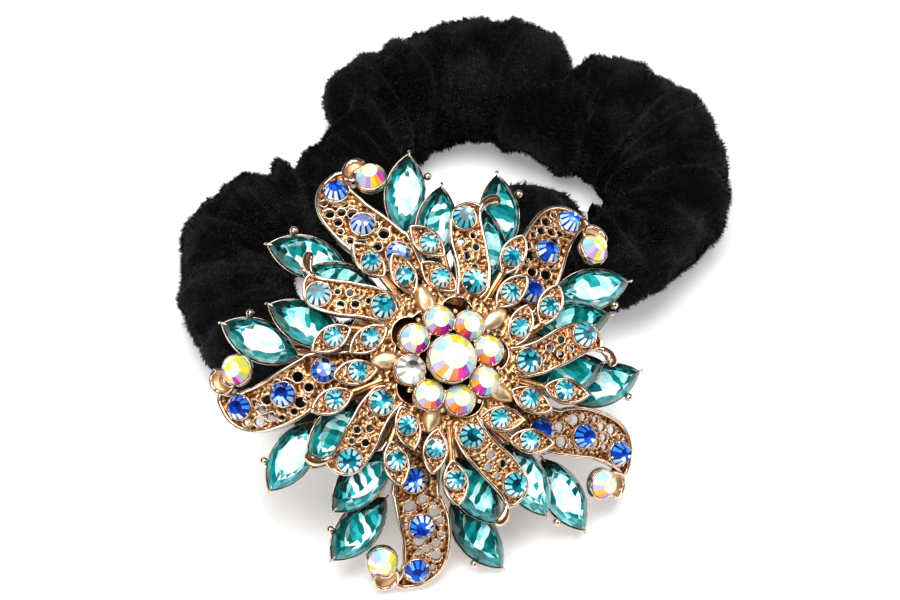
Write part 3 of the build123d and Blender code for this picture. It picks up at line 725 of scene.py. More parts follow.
def lower_leaves():
    shape = Shape()
    left, right, curl_out, curl_in = (in_mm(rows, LOWER_REACH)
                                      for rows in (LOWER_LEFT, LOWER_RIGHT, CURL_OUT, CURL_IN))
    left_edge, right_edge = (smooth_line([(LOWER_HUB - METAL, LOWER_ROOT * side[0][1]), *side])
                             for side in (left, right))
    holes = in_mm(LOWER_HOLES, LOWER_REACH)
    plan = sheet_plan(np.vstack([left_edge, right_edge[::-1]]), LOWER_SPACING, holes)
    curl_line = smooth_line([*right[-3:], *curl_out[1:]])
    curl_rise = CURL_LIFT * np.linspace(0, 1, len(curl_line)) ** 2
    curl_edge = smooth_line([*curl_out, *curl_in], closed=True)
    curl_plan = sheet_plan(curl_edge, CURL_SPACING)
    dish = CURL_DISH[0] - CURL_DISH[1] * edge_distance(curl_plan[0], curl_edge)
    web = smooth_line([polar(CURL_PLACE[0], CURL_PLACE[1] - LOWER_TURN), in_mm([WEB_END], LOWER_REACH)[0]])
    for k, turn in enumerate(leaf_turns()):
        leaf = Shape()
        leaf.add(*grain_sheet(plan, LOWER_GRAIN, 3.1 * k + 1, LOWER_FADE))
        leaf.add(wall(left_edge, LOWER_RIM), RIM)
        leaf.add(wall(right_edge, LOWER_RIM), RIM)
        leaf.add(sheet_part(curl_plan, dish, -METAL * 0.6), HOLLOW, 0.1)
        leaf.add(wall(curl_edge, CURL_RIM, closed=True), RIM)
        leaf.add(wall(curl_line, LOWER_RIM, curl_rise), RIM)
        leaf.add(wall(web, WEB), FLOOR)
        for x, y, radius in holes:
            collar(leaf, x, y, radius, 9 if radius > LARGE_HOLE else 6)
        shape.add_leaf(leaf, LOWER_ARCH, spin(LOWER_TURN + turn))
        for radius, angle in SAPPHIRE_PLACES:
            seat(shape, lower_place(radius, angle, turn), LEAF_STONE, 4, width=0.16)
        seat(shape, curl_place(turn), CURL_STONE, 0, sunk=0.0)
        shape.add(lathe(CURL_POST, 20), RIM, place=curl_place(turn))
    # The lower hub is painted nearly black: painted shade of the gap seen down past the cluster
    shape.add(tube(BORE, LOWER_HUB, LOWER_TOP - METAL, LOWER_TOP, 48), FLOOR, 1.0, smooth=False)
    star_top = OUTER_LEVEL + STAR_METAL
    shape.add(tube(BORE, BOSS_RADIUS, star_top + STACK_GAP, LOWER_TOP - STACK_GAP, 32), RIM, smooth=False)
    return shape


def upper_leaves():
    shape = Shape()
    left, right = (smooth_line(in_mm(rows, UPPER_REACH)) for rows in (UPPER_LEFT, UPPER_RIGHT))
    holes = in_mm(UPPER_HOLES, UPPER_REACH)
    plan = sheet_plan(np.vstack([left, right[::-1]]), UPPER_SPACING, holes)
    hook = smooth_line(in_mm(HOOK, UPPER_REACH), 0.3)
    girth = girths(HOOK_GIRTH, len(hook))
    share = np.linspace(0, 1, len(hook))
    rise = HOOK_LIFT[0] + HOOK_LIFT[1] * share
    scoop_shade = share > SCOOP_SHADE_START
    scoop_shade_line = lifted(hook, rise + SCOOP_SHADE_RISE * girth)[scoop_shade]
    spoke = smooth_line([(BOSS_RADIUS - 1, 0), (UPPER_HUB_OUT - 1, 0)], 0.6)
    for k, turn in enumerate(leaf_turns()):
        leaf = Shape()
        leaf.add(*grain_sheet(plan, UPPER_GRAIN, 2.3 * k + 40))
        leaf.add(wall(left, UPPER_RIM), RIM)
        leaf.add(wall(right, UPPER_RIM), RIM)
        leaf.add(rod(lifted(hook, rise), girth, 16), RIM)
        # Dark rod in the hook's scoop: painted shade of its hollow
        leaf.add(rod(scoop_shade_line, SCOOP_SHADE_GIRTH * girth[scoop_shade], 10), FLOOR, 0.9)
        for x, y, radius in holes:
            collar(leaf, x, y, radius * UPPER_COLLAR, 7)
        shape.add_leaf(leaf, UPPER_ARCH, SLIDE @ spin(UPPER_TURN + turn))
        for radius, angle in LEAF_STONE_PLACES:
            seat(shape, upper_place(radius, angle, turn), LEAF_STONE, 4, width=0.15)
        small_leaves(shape, turn, k)
        spoke_place = SLIDE @ spin(SPOKE_TURN + turn)
        petal(shape, spoke_place @ shift(PETAL_PLACE, 0, UPPER_TOP))
        shape.add(wall(spoke, SPOKE, UPPER_TOP), FLOOR, place=spoke_place)
    mouth = hub_mouth()
    hub = sheet_plan(circle(UPPER_HUB_OUT, 90), 0.24, mouths=[mouth])
    shape.add(*grain_sheet(hub, UPPER_GRAIN, 77), place=SLIDE @ shift(0, 0, UPPER_TOP))
    shape.add(wall(mouth, MOUTH_RIM, UPPER_TOP, closed=True), RIM, place=SLIDE)
    boss = tube(BORE, BOSS_RADIUS, LOWER_TOP + 2 * STACK_GAP, UPPER_TOP, 32)
    shape.add(boss, RIM, smooth=False, place=SLIDE)
    return shape


def hub_mouth():
    """Edge of the hub's opening, wider in front of each upper leaf, where one sees down past the cluster."""
    angles = np.arange(0, 360, 3)
    lobes = np.clip(np.cos(np.radians(LEAF_COUNT * (angles - MOUTH_TURN))), 0, None) ** 0.7
    return np.array([polar(UPPER_HUB_IN + MOUTH_LOBE * lobe, angle) for angle, lobe in zip(angles, lobes)])


def mirrored(x, y):
    """Closed outline from its upper half along +X."""
    return np.vstack([np.column_stack([x, y]), np.column_stack([x, -y])[::-1][1:-1]])


def small_leaf_line(grow):
    """Pointed oval along +X round its stone."""
    tip_x, heel_x = SMALL_LEAF_TIP + 2 * grow, -SMALL_LEAF_HEEL - 2 * grow
    half = SMALL_LEAF_WIDTH / 2 + grow
    share = np.linspace(-1, 1, 25)
    x = (tip_x + heel_x) / 2 + share * (tip_x - heel_x) / 2
    return mirrored(x, half * (1 - np.abs(share) ** 2.0) ** 0.85)


def small_leaves(shape, turn, k):
    """The small leaves beside an upper leaf, each with beads, a stone's seat and a stem."""
    edge = small_leaf_line(-0.12)
    plan = sheet_plan(small_leaf_line(-0.15), 0.24)
    bead = ball(SMALL_LEAF_BEAD, 2)
    for j, (radius, angle, direction) in enumerate(SMALL_LEAVES):
        place = SLIDE @ shift(*polar(radius, angle + turn), UPPER_TOP) @ spin(direction + turn)
        shape.add(*grain_sheet(plan, SMALL_LEAF_GRAIN, 5.7 * j + 13 * k), place=place)
        shape.add(wall(edge, SMALL_LEAF_RIM, closed=True), RIM, place=place)
        seat(shape, place, SMALL_STONE, 4, turn=45, width=0.14)
        for x, y in SMALL_LEAF_BEADS:
            shape.add(bead, RIM, place=place @ shift(x, y))
        start = polar(UPPER_HUB_OUT - 1.5, angle + turn - (direction - angle) / 3)
        heel = place[:2, 3] - polar(SMALL_LEAF_HEEL * 0.9, direction + turn) - UPPER_SHIFT
        stem = smooth_line([start, heel], 0.5)
        if len(stem) > 2:
            shape.add(wall(stem, STEM, UPPER_TOP), FLOOR, 0.25, place=SLIDE)


def petal(shape, place):
    """Smooth domed petal along +X."""
    x, y = circle(1, PETAL_SIDES).T
    outline = np.column_stack([PETAL_LENGTH * x, PETAL_WIDTH * y * (1 - PETAL_WAIST * x ** 2)])
    rings = [lifted(share * outline, height) for share, height in PETAL_RINGS]
    shape.add((np.vstack(rings), ring_faces(len(rings), PETAL_SIDES)), HORN, place=place)


def cluster_setting():
    """Dome that carries the round stones of the middle."""
    shape = Shape()
    side = smooth_line(CLUSTER_SIDE, 0.3)
    profile = [(CLUSTER_BORE, CLUSTER_SIDE[0][1]), *side, (CLUSTER_BORE, CENTRE_TOP)]
    # The dome is painted somewhat dark, as shade between its cups
    shape.add(lathe(profile, 96), FLOOR, 0.3)
    seat(shape, shift(0, 0, CENTRE_TOP), CENTRE_STONE, 8, sunk=1.2, width=0.2)
    for k in range(CLUSTER_COUNT):
        angle = CLUSTER_TURN + 360 * k / CLUSTER_COUNT
        place = shift(*polar(CLUSTER_RADIUS, angle), CLUSTER_TOP)
        seat(shape, place, CLUSTER_STONE, 6, turn=angle, sunk=1.6, width=0.16)
        for radius, out, rise in CLUSTER_BEADS:
            spot = polar(CLUSTER_RADIUS + out, angle + 180 / CLUSTER_COUNT)
            shape.add(ball(radius, 2), RIM, place=shift(*spot, CLUSTER_TOP + rise))
    return shape


def lens_half(x, half, wide):
    """Half width at x of a pointed outline between two arcs."""
    radius = (half ** 2 + wide ** 2) / (2 * wide)
    return np.sqrt(radius ** 2 - x ** 2) - (radius - wide)


def marquise_line(grow, count=40):
    """Pointed outline of a long stone, grown evenly."""
    half, wide = MARQUISE_LENGTH / 2 + 1.6 * grow, MARQUISE_WIDTH / 2 + grow
    x = half * np.sin(np.linspace(-np.pi / 2, np.pi / 2, count))
    return mirrored(x, lens_half(x, half, wide))


def tip_prong(side, girdle):
    """Prong that bends over one tip of a long stone."""
    tip_x = MARQUISE_LENGTH / 2
    line = [PRONG_FOOT] + [(out, girdle + rise) for out, rise in PRONG_LINE]
    path = smooth_line([(side * (tip_x + out), 0, height) for out, height in line], 0.2)
    return rod(path, np.linspace(*PRONG_GIRTH, len(path)), 7, up=(0, 1, 0))


def marquise_cups():
    """Star of the pointed cups. The outer ones have a ball prong at their side."""
    shape = Shape()
    girdle = STONE_REST + MARQUISE_WIDTH * MARQUISE_DEPTH * GIRDLE_HIGH
    bezel_size = (POINT_WALL, -CUP_FLOOR, girdle - CUP_FLOOR - POINT_SUNK)
    bezel = wall(marquise_line(POINT_OUT), bezel_size, closed=True)
    base = sheet_plan(marquise_line(STONE_GAP), 1.2)
    base = sheet_part(base, 0, -CUP_FLOOR)
    shape.add(tube(BORE, STAR_HUB, OUTER_LEVEL, OUTER_LEVEL + STAR_METAL, 48), RIM, smooth=False)
    shape.add(tube(STAR_HUB - STAR_WALL, STAR_HUB, OUTER_LEVEL, INNER_LEVEL + STAR_METAL, 48), RIM)
    stem = smooth_line([(BALL_X, BALL_Y + 0.35, 0.0), (BALL_X, BALL_Y, 0.9), (BALL_X, BALL_Y, 1.3)], 0.25)
    for places, level in ((OUTER_PLACES, OUTER_LEVEL), (INNER_PLACES, INNER_LEVEL)):
        for radius, angle, direction in all_round(places):
            place = shift(*polar(radius, angle), level + STAR_METAL) @ spin(direction)
            shape.add(base, RIM, smooth=False, place=place)
            shape.add(bezel, RIM, place=place)
            arm = smooth_line([(STAR_HUB - 0.6, 0), (radius - 3, 0)], 2.0)
            shape.add(wall(arm, STAR_ARM, level + STAR_METAL / 2), RIM, place=spin(angle))
            for side in (-1, 1):
                shape.add(tip_prong(side, girdle), RIM, place=place)
            if level == OUTER_LEVEL:
                shape.add(rod(stem, BALL_STEM, 8, up=(1, 0, 0)), RIM, place=place)
                shape.add(ball(BALL_PRONG, 3), RIM, place=place @ shift(BALL_X, BALL_Y, girdle - CUP_FLOOR))
    return shape


# Round stones

FACET_KINDS = [("back", "back"), ("girdle", "girdle"), ("crown", "dark crown"), ("table", "dark table")]
ROUND_TABLE = 0.55  # width of the tables in diameters, of large and of small stones
SMALL_TABLE = 0.58
CLEAR_WEDGE = 0.6  # width of every second wedge, in widths of the others
SMALL_WEDGE = 0.55
FOIL_REFLECTION_TONES = {
    # kind of facet: painted tone, how much brighter the lit side is painted, stray
    "back": (0.10, 0.0, 0.0),
    "girdle": (0.195, 0.0, 0.15),
    "crown": (0.82, 0.16, 0.14),
    "dark crown": (0.26, 0.10, 0.20),
    "table": (0.0, 0.20, 0.08),
    "dark table": (0.0, 0.20, 0.08),
    "core": (0.0, 0.20, 0.20),
}
# Sides towards which a round stone's facets are painted brighter, as if lit from there; the stone's turn is
# taken off them
LIT_SIDES = (-90, -60, -120, 60, -90)
DULL_CROWN = (0.12, 0.4)  # share of a crown's bright facets that are duller, and by how much
TABLE_SECTOR = 45  # degrees of a table that share one tone
SECTOR_STRAY = 0.24
# A white sector of a table is a painted highlight
HIGHLIGHT_SECTOR = (0.84, 0.4)  # pick from which a sector is white, and by how much
TABLE_TONES = (0.22, 0.30, 0.40, 0.55, 0.72)
PALE_TONES = (0.42, 0.56, 0.66, 0.74, 0.80)

# Colours round an aurora stone, as places on its ramp, from its right side counter-clockwise, and the
# tints in its table: first those of the cluster, then those of the golden stones in the curls
CLUSTER_COLOURS = (
    (0.13, 0.46, 0.50, 0.10, 0.17, 0.22, 0.08, 1.0, 0.60, 0.68, 0.80, 0.90, 0.28, 0.10),
    (0.0, 0.0, 0.03, 0.05, 0.0, 0.16),
)
CURL_COLOURS = (
    (0.50, 0.46, 0.44, 0.52, 0.12, 0.22, 0.30, 1.0, 1.0, 0.50, 0.62, 0.86, 0.94, 0.46),
    (0.05, 0.05, 0.07, 0.0, 0.45, 0.16),
)
PALE_FACETS = 0.12  # share of an aurora stone's facets outside its table that are pale


def facet_centres(points, faces):
    return np.array([points[list(face)].mean(axis=0) for face in faces])


def chaton(diameter, wedges, table, narrow=1.0):
    """Round stone with a crown and a table cut in wedges, every second one narrower.

    Gives its points, its facets and for each facet its kind and its angle."""
    radius, height = diameter / 2, diameter * ROUND_DEPTH
    step = 2 * math.pi / wedges
    spare = 0.5 - 0.5 * narrow
    turns = [step * (k + spare * (k % 2) - spare * 0.5) for k in range(wedges)]
    rings = [(0.6, 0.0), (1.0, GIRDLE_LOW), (1.0, GIRDLE_HIGH), (table, 1.0), (table * 0.42, 1.0)]
    points = [(radius * reach * math.cos(a), radius * reach * math.sin(a), height * rise)
              for reach, rise in rings for a in turns]
    points = np.array(points + [(0, 0, height)])
    *bands, bottom, _ = ring_faces(len(rings), wedges)
    faces = [bottom, *bands]
    kinds = ["back"] + [pair[k % 2] for pair in FACET_KINDS for k in range(wedges)]
    last = (len(rings) - 1) * wedges
    for k in range(0, wedges, 2):
        faces.append((last + k, last + (k + 1) % wedges, last + (k + 2) % wedges, len(points) - 1))
        kinds.append("core")
    centres = facet_centres(points, faces)
    return points, faces, kinds, np.arctan2(centres[:, 1], centres[:, 0])


def foil_reflection_shades(kinds, angles, turn, tones=TABLE_TONES):
    """Painted reflections of a foil-backed stone: light and dark wedges, painted brighter towards one side
    as if lit from there.
    """
    shades = []
    lit_side = math.radians(chance.choice(LIT_SIDES) - turn)
    middle_shade = chance.choice(tones)
    picks = {}
    for kind, angle in zip(kinds, angles):
        wedge = picks.setdefault(math.degrees(angle) // TABLE_SECTOR, chance.random())
        pick = chance.random()
        tone, gain, stray = FOIL_REFLECTION_TONES[kind]
        shade = tone + gain * math.cos(angle - lit_side) + stray * (pick - 0.5)
        if kind in ("core", "table", "dark table"):
            shade += middle_shade
        if kind in ("table", "dark table"):
            shade += SECTOR_STRAY * (wedge - 0.5) + HIGHLIGHT_SECTOR[1] * (wedge > HIGHLIGHT_SECTOR[0])
        elif kind == "crown":
            shade -= DULL_CROWN[1] * (pick < DULL_CROWN[0])
        shades.append(min(max(shade, 0.0), 1.0))
    return shades


def aurora_shades(kinds, angles, turn, wheel, table_tints):
    """Colours of an aurora stone, by the places on the ramp that its wheel and its table's tints give."""
    shades = []
    swing = chance.uniform(-40, 40)
    picks = {}
    for kind, angle in zip(kinds, angles):
        place = ((math.degrees(angle) + turn + swing) % 360) / 360 * len(wheel)
        tint = wheel[int(place) % len(wheel)]
        if kind in ("table", "dark table", "core", "back"):
            shade = picks.setdefault(math.degrees(angle) // (1.5 * TABLE_SECTOR), chance.choice(table_tints))
        elif chance.random() < PALE_FACETS:
            shade = 0.1
        else:
            shade = min(max(tint + chance.uniform(-0.05, 0.05), 0), 1)
        shades.append(shade)
    return shades


# Long stones

MARQUISE_RINGS = [
    # reach, rise, turn
    (0.60, 0.00, 0.0), (1.00, GIRDLE_LOW, 0.0), (1.00, GIRDLE_HIGH, 0.0), (0.88, 0.66, 0.5),
    (0.74, 0.89, 0.0), (0.61, 1.00, 0.5),
]
MARQUISE_SIDES = 18
GIRDLE_LEVEL = 2  # levels of the facets: the first two are the back and the pavilion
STAR_LEVEL = 5
TABLE_LEVEL = 9
TABLE_LANES = 4
TABLE_STRIPS = 9
TABLE_REACH = MARQUISE_RINGS[-1][0] * 0.985
TABLE_RISE = (0.02, 0.07)  # height of the table's cut at its edges, and how much more in its middle
TABLE_WAVE = 0.25  # how far every second point of the cut is moved along it
SLANTS = (-1.3, -1.0, -0.7, 0.7, 1.0, 1.3)
BAR_TONES = (0.0, 0.1, 0.3, 0.5, 1.0, 1.2)

# Where the painted white highlight of each long stone's table starts, from -1 at its dull edge to 1 at its
# lit one
OUTER_SPLITS = (0.0, 0.35, -0.45, 0.2, -0.4, 0.1, 0.35, -0.5, -0.25, 0.7)
INNER_SPLITS = (0.4, 0.4, 0.1, 0.7, 0.3, 0.6, 0.4, 0.5, 0.1, 0.8)


def marquise_half(x, reach=1.0):
    """Half width of the long stone at x, for a ring of that reach."""
    half, wide = MARQUISE_LENGTH / 2, MARQUISE_WIDTH / 2
    return reach * lens_half(np.clip(x / reach, -half, half), half, wide)


def marquise_ring(reach, rise, turn):
    a = 2 * np.pi * (np.arange(MARQUISE_SIDES) + turn) / MARQUISE_SIDES
    x = MARQUISE_LENGTH / 2 * np.cos(a)
    y = np.sign(np.round(np.sin(a), 6)) * marquise_half(x)
    return lifted(np.column_stack([x * reach, y * reach]), MARQUISE_WIDTH * MARQUISE_DEPTH * rise)


def marquise_shade(level, side, end, pick, bar, split):
    """Painted light of a facet by its level, its side towards the lit edge, its nearness to a tip and a
    pick.

    A table is painted white from the split on, as a reflection of the lamps, and elsewhere in bars of
    painted reflection, each with a tone of its own. The further the split lies to the lit side, the darker
    is the whole stone."""
    dull = max(split, 0)
    if level < GIRDLE_LEVEL:
        return 0.08
    if level == GIRDLE_LEVEL:
        return 0.24 + 0.20 * pick
    if level == TABLE_LEVEL:
        if side + 0.3 * (pick - 0.5) > split and end < 0.52:
            return 0.98 if pick > 0.3 else 0.88
        return 0.36 + 0.50 * bar + 0.14 * side + 0.16 * (pick - 0.5) - 0.12 * dull
    shade = 0.42 + 0.32 * side - 0.40 * max(end - 0.45, 0) + 0.36 * (pick - 0.45) - 0.25 * dull
    if level == STAR_LEVEL:
        shade += 0.26 * (pick > 0.6)
    return shade


def marquise_facets():
    """Facets of the rings of a long stone and their levels. Rings turned to each other make triangles."""
    n = MARQUISE_SIDES
    faces, levels = [tuple(range(n))[::-1]], [0]
    for i, (row, next_row) in enumerate(zip(MARQUISE_RINGS, MARQUISE_RINGS[1:])):
        low, up = i * n, (i + 1) * n
        for k in range(n):
            m = (k + 1) % n
            if row[2] < next_row[2]:
                faces += [(low + k, low + m, up + k), (low + m, up + m, up + k)]
            elif row[2] > next_row[2]:
                faces += [(low + k, up + m, up + k), (low + k, low + m, up + m)]
            else:
                faces.append((low + k, low + m, up + m, up + k))
        levels += [i + 1] * (len(faces) - len(levels))
    faces.append(tuple((len(MARQUISE_RINGS) - 1) * n + k for k in range(n)))
    return faces, levels + [TABLE_LEVEL]


def table_cut(slant):
    """Points of the cut of a long stone's table, in strips across it and lanes along it."""
    table = []
    for i in range(TABLE_STRIPS + 1):
        for j in range(TABLE_LANES + 1):
            lane = 2 * j / TABLE_LANES - 1
            share = 2 * i / TABLE_STRIPS - 1
            x = share * MARQUISE_LENGTH / 2 * TABLE_REACH
            x += slant * lane * (1 - abs(share)) + TABLE_WAVE * ((i + j) % 2) * (0 < i < TABLE_STRIPS)
            rise = TABLE_RISE[0] + TABLE_RISE[1] * (1 - lane ** 2)
            table.append((x, lane * marquise_half(x, TABLE_REACH), MARQUISE_WIDTH * MARQUISE_DEPTH + rise))
    return np.array(table)


def marquise(direction, split):
    """Long pointed stone and the painted shades of its facets. The split is where the painted white
    highlight of its table starts.
    """
    rings = [marquise_ring(*row) for row in MARQUISE_RINGS]
    faces, levels = marquise_facets()
    slant = chance.choice(SLANTS)
    points = np.vstack([*rings, table_cut(slant)])
    for i in range(TABLE_STRIPS):
        for j in range(TABLE_LANES):
            a = len(rings) * MARQUISE_SIDES + i * (TABLE_LANES + 1) + j
            b = a + TABLE_LANES + 1
            faces.append((a, b, b + 1, a + 1))
            levels.append(TABLE_LEVEL)
    # Side from which the facets are painted as lit: brighter towards it, and the table's painted white
    # highlight lies there
    bright = math.radians(-90 - direction + chance.uniform(-25, 25))
    bars = [chance.choice(BAR_TONES) for _ in range(TABLE_STRIPS + 1)]
    shades = []
    for (x, y, _), level in zip(facet_centres(points, faces), levels):
        end = x / (MARQUISE_LENGTH / 2)
        side = end * math.cos(bright) + y / (MARQUISE_WIDTH / 2) * math.sin(bright)
        share = x / (MARQUISE_LENGTH / 2 * TABLE_REACH) - slant * y / MARQUISE_WIDTH / 2
        bar = bars[min(max(int((share + 1) / 2 * TABLE_STRIPS), 0), TABLE_STRIPS)]
        shade = marquise_shade(level, side, abs(end), chance.random(), bar, split)
        shades.append(min(max(shade, 0.0), 1.0))
    return points, faces, shades


# Finishes

class Socket:
    """A shader socket with Python's arithmetic."""

    def __init__(self, finish, source):
        self.finish = finish
        self.source = source

    def math(self, operation, first, second):
        return self.finish.node("ShaderNodeMath", {"operation": operation}, {0: first, 1: second})

    def __add__(self, other):
        return self.math("ADD", self, other)

    __radd__ = __add__

    def __sub__(self, other):
        return self.math("SUBTRACT", self, other)

    def __mul__(self, other):
        return self.math("MULTIPLY", self, other)

    __rmul__ = __mul__


class Finish:
    """One material. Its first Principled shader is its surface."""

    def __init__(self, name, **constants):
        self.material = bpy.data.materials.new(name)
        self.material.use_nodes = True
        self.tree = self.material.node_tree
        self.tree.nodes.clear()
        self.skin = self.tree.nodes.new("ShaderNodeBsdfPrincipled")
        for title, value in constants.items():
            self.skin.inputs[title.replace("_", " ")].default_value = value
        end = self.tree.nodes.new("ShaderNodeOutputMaterial")
        self.tree.links.new(self.skin.outputs[0], end.inputs["Surface"])

    def node(self, kind, settings=None, sockets=None, output=0):
        """One node: its settings are set first, then its sockets get values or links."""
        made = self.tree.nodes.new(kind)
        for title, value in (settings or {}).items():
            if title == "stops":
                ramp = made.color_ramp
                while len(ramp.elements) < len(value):
                    ramp.elements.new(0.5)
                for stop, (place, colour) in zip(ramp.elements, value):
                    stop.position = place
                    stop.color = (*colour, 1)
            else:
                setattr(made, title, value)
        for title, value in (sockets or {}).items():
            self.feed(made.inputs[title], value)
        return Socket(self, made.outputs[output])

    def feed(self, target, value):
        if isinstance(value, Socket):
            self.tree.links.new(value.source, target)
        else:
            target.default_value = value

    def set(self, title, value):
        self.feed(self.skin.inputs[title], value)

    def shade(self):
        """The shade of each face."""
        return self.node("ShaderNodeAttribute", {"attribute_name": "shade"}, output="Fac")

    def spot(self):
        return self.node("ShaderNodeTexCoord", output="Object")

    def noise(self, scale, detail=3.0, roughness=0.5):
        sockets = {"Vector": self.spot(), "Scale": scale, "Detail": detail, "Roughness": roughness}
        return self.node("ShaderNodeTexNoise", None, sockets)

    def cells(self, scale):
        return self.node("ShaderNodeTexVoronoi", None, {"Vector": self.spot(), "Scale": scale})

    def ramp(self, value, stops):
        return self.node("ShaderNodeValToRGB", {"stops": stops}, {"Fac": value})

    def mix(self, first, second, share):
        """Colour between two others."""
        return self.node("ShaderNodeMix", {"data_type": "RGBA"}, {0: share, 6: first, 7: second}, output=2)

    def bump(self, height, strength, distance):
        sockets = {"Height": height, "Strength": strength, "Distance": distance}
        self.set("Normal", self.node("ShaderNodeBump", None, sockets))


# Dark colour of faces with a high shade: patina in the pits, and painted shade in the pits, gaps and hollows
PATINA_AND_SHADE = (0.048, 0.015, 0.006)


def gilt(name, deep, pale, rough, grain_size):
    """Cast and plated metal with small pits and uneven polish. A high shade turns its colour towards a dark
    one: patina and painted shade in the pits, painted shade in the gaps and hollows set dark.
    """
    finish = Finish(name, Metallic=1.0, Specular_IOR_Level=0.6)
    shade = finish.shade()
    bright = finish.ramp(finish.noise(900, 4), [(0.3, deep), (0.7, pale)])
    finish.set("Base Color", finish.mix(bright, (*PATINA_AND_SHADE, 1), shade))
    finish.set("Roughness", rough + 0.14 * finish.noise(1500, 3) + 0.25 * shade)
    finish.bump(finish.noise(grain_size, 4, 0.6), 0.25, 0.00008)
    return finish.material


def crystal(name, stops, wander=0.10, rough=0.05):
    """Foil-backed cut glass and its slot. Each facet's shade picks its colour, which on foil-backed and long
    stones holds painted reflections of the light.
    """
    finish = Finish(f"{name}_glass", IOR=1.45, Specular_IOR_Level=0.3, Coat_Weight=0.45, Coat_Roughness=0.02,
                    Coat_IOR=1.5)
    wandering = finish.shade() + wander * (finish.noise(1100, 3) - 0.5)
    finish.set("Base Color", finish.ramp(wandering, stops))
    finish.set("Roughness", rough + 0.08 * finish.noise(600, 2))
    return finish.material, f"{name}_crystal"


def plush(name, dark, light):
    finish = Finish(name, Roughness=0.95, Specular_IOR_Level=0.05, Sheen_Weight=0.10, Sheen_Roughness=0.4,
                    Sheen_Tint=(0.75, 0.78, 0.82, 1))
    # The lighter patches of the base colour are painted sheen of the crushed pile
    sheen_patches = finish.noise(110, 4, 0.55) + 0.25 * (finish.noise(900, 2) - 0.5)
    finish.set("Base Color", finish.ramp(sheen_patches, [(0.46, dark), (0.66, light)]))
    finish.bump(finish.noise(2500, 3, 0.7), 0.5, 0.0003)
    return finish.material


def elastic_finish():
    finish = Finish("elastic_braid", Roughness=0.8)
    threads = [(0.1, (0.02, 0.02, 0.02)), (0.6, (0.09, 0.09, 0.09))]
    finish.set("Base Color", finish.ramp(finish.cells(1400), threads))
    finish.bump(finish.cells(1400), 0.6, 0.0003)
    return finish.material


# In the order of RIM, FLOOR, HOLLOW and HORN
METALS = [
    gilt("gilt_polished", (0.60, 0.42, 0.30), (0.82, 0.66, 0.52), 0.09, 1600),
    gilt("gilt_granulated", (0.60, 0.21, 0.055), (0.88, 0.57, 0.30), 0.12, 3500),
    gilt("gilt_hollow", (0.62, 0.34, 0.15), (0.78, 0.54, 0.31), 0.40, 1200),
    gilt("gilt_burnished", (0.70, 0.45, 0.24), (0.82, 0.62, 0.40), 0.32, 500),
]

# Each stop is a shade and its colour
TEAL = crystal("teal", [
    (0.00, (0.000, 0.008, 0.008)), (0.18, (0.000, 0.036, 0.033)), (0.36, (0.000, 0.115, 0.110)),
    (0.52, (0.003, 0.25, 0.26)), (0.68, (0.03, 0.47, 0.50)), (0.84, (0.42, 0.82, 0.84)),
    (1.00, (0.96, 0.99, 0.99))])
SAPPHIRE = crystal("sapphire", [
    (0.00, (0.000, 0.004, 0.06)), (0.28, (0.002, 0.022, 0.24)), (0.52, (0.006, 0.075, 0.52)),
    (0.74, (0.03, 0.22, 0.80)), (0.88, (0.30, 0.60, 0.98)), (1.00, (0.85, 0.95, 1.0))])
AQUA = crystal("aqua", [
    (0.00, (0.000, 0.015, 0.028)), (0.28, (0.000, 0.075, 0.12)), (0.50, (0.004, 0.22, 0.31)),
    (0.70, (0.05, 0.48, 0.58)), (0.86, (0.42, 0.85, 0.90)), (1.00, (0.92, 0.99, 0.99))])
AURORA = crystal("aurora", [
    (0.00, (0.97, 0.97, 0.96)), (0.05, (0.92, 0.84, 0.40)), (0.10, (0.80, 0.78, 0.66)),
    (0.20, (0.50, 0.74, 0.72)), (0.30, (0.22, 0.56, 0.80)), (0.42, (0.55, 0.62, 0.08)),
    (0.50, (0.93, 0.72, 0.05)), (0.60, (0.92, 0.32, 0.03)), (0.70, (0.85, 0.09, 0.05)),
    (0.80, (0.82, 0.03, 0.30)), (0.90, (0.24, 0.02, 0.45)), (1.00, (0.60, 0.50, 0.72))], wander=0.04)
CLEAR = crystal("clear", [
    (0.00, (0.05, 0.055, 0.045)), (0.20, (0.30, 0.32, 0.28)), (0.35, (0.74, 0.76, 0.72)),
    (0.70, (0.95, 0.96, 0.95))])
PLUSH = plush("black_plush", (0.0010, 0.0010, 0.0011), (0.006, 0.006, 0.0062))
PILE = plush("black_pile", (0.0015, 0.0015, 0.0016), (0.030, 0.030, 0.0305))


# Scrunchie

def cover_route(steps):
    """Arrays of the tube's points, directions, girths and rise at evenly spaced steps, in millimetres."""
    rows = len(COVER_ROWS)
    place = np.asarray(steps, float) * rows
    first = np.floor(place).astype(int)
    f = (place - first)[:, None]
    a, b, c, d = (COVER_ROWS[(first + k) % rows] for k in (-1, 0, 1, 2))
    value = between(a, b, c, d, f)
    slope = 0.5 * ((c - a) + 2 * (2 * a - 5 * b + 4 * c - d) * f + 3 * (3 * b - a - 3 * c + d) * f ** 2)
    way = slope[:, :2] / np.linalg.norm(slope[:, :2], axis=1)[:, None]
    outside, within = TUBE_RADIUS * value[:, 2], TUBE_RADIUS * value[:, 3]
    rise = (outside + within) / 2 - FLOOR_SAG + TUBE_RADIUS * value[:, 4]
    return RING_RADIUS * value[:, :2], way, outside, within, rise


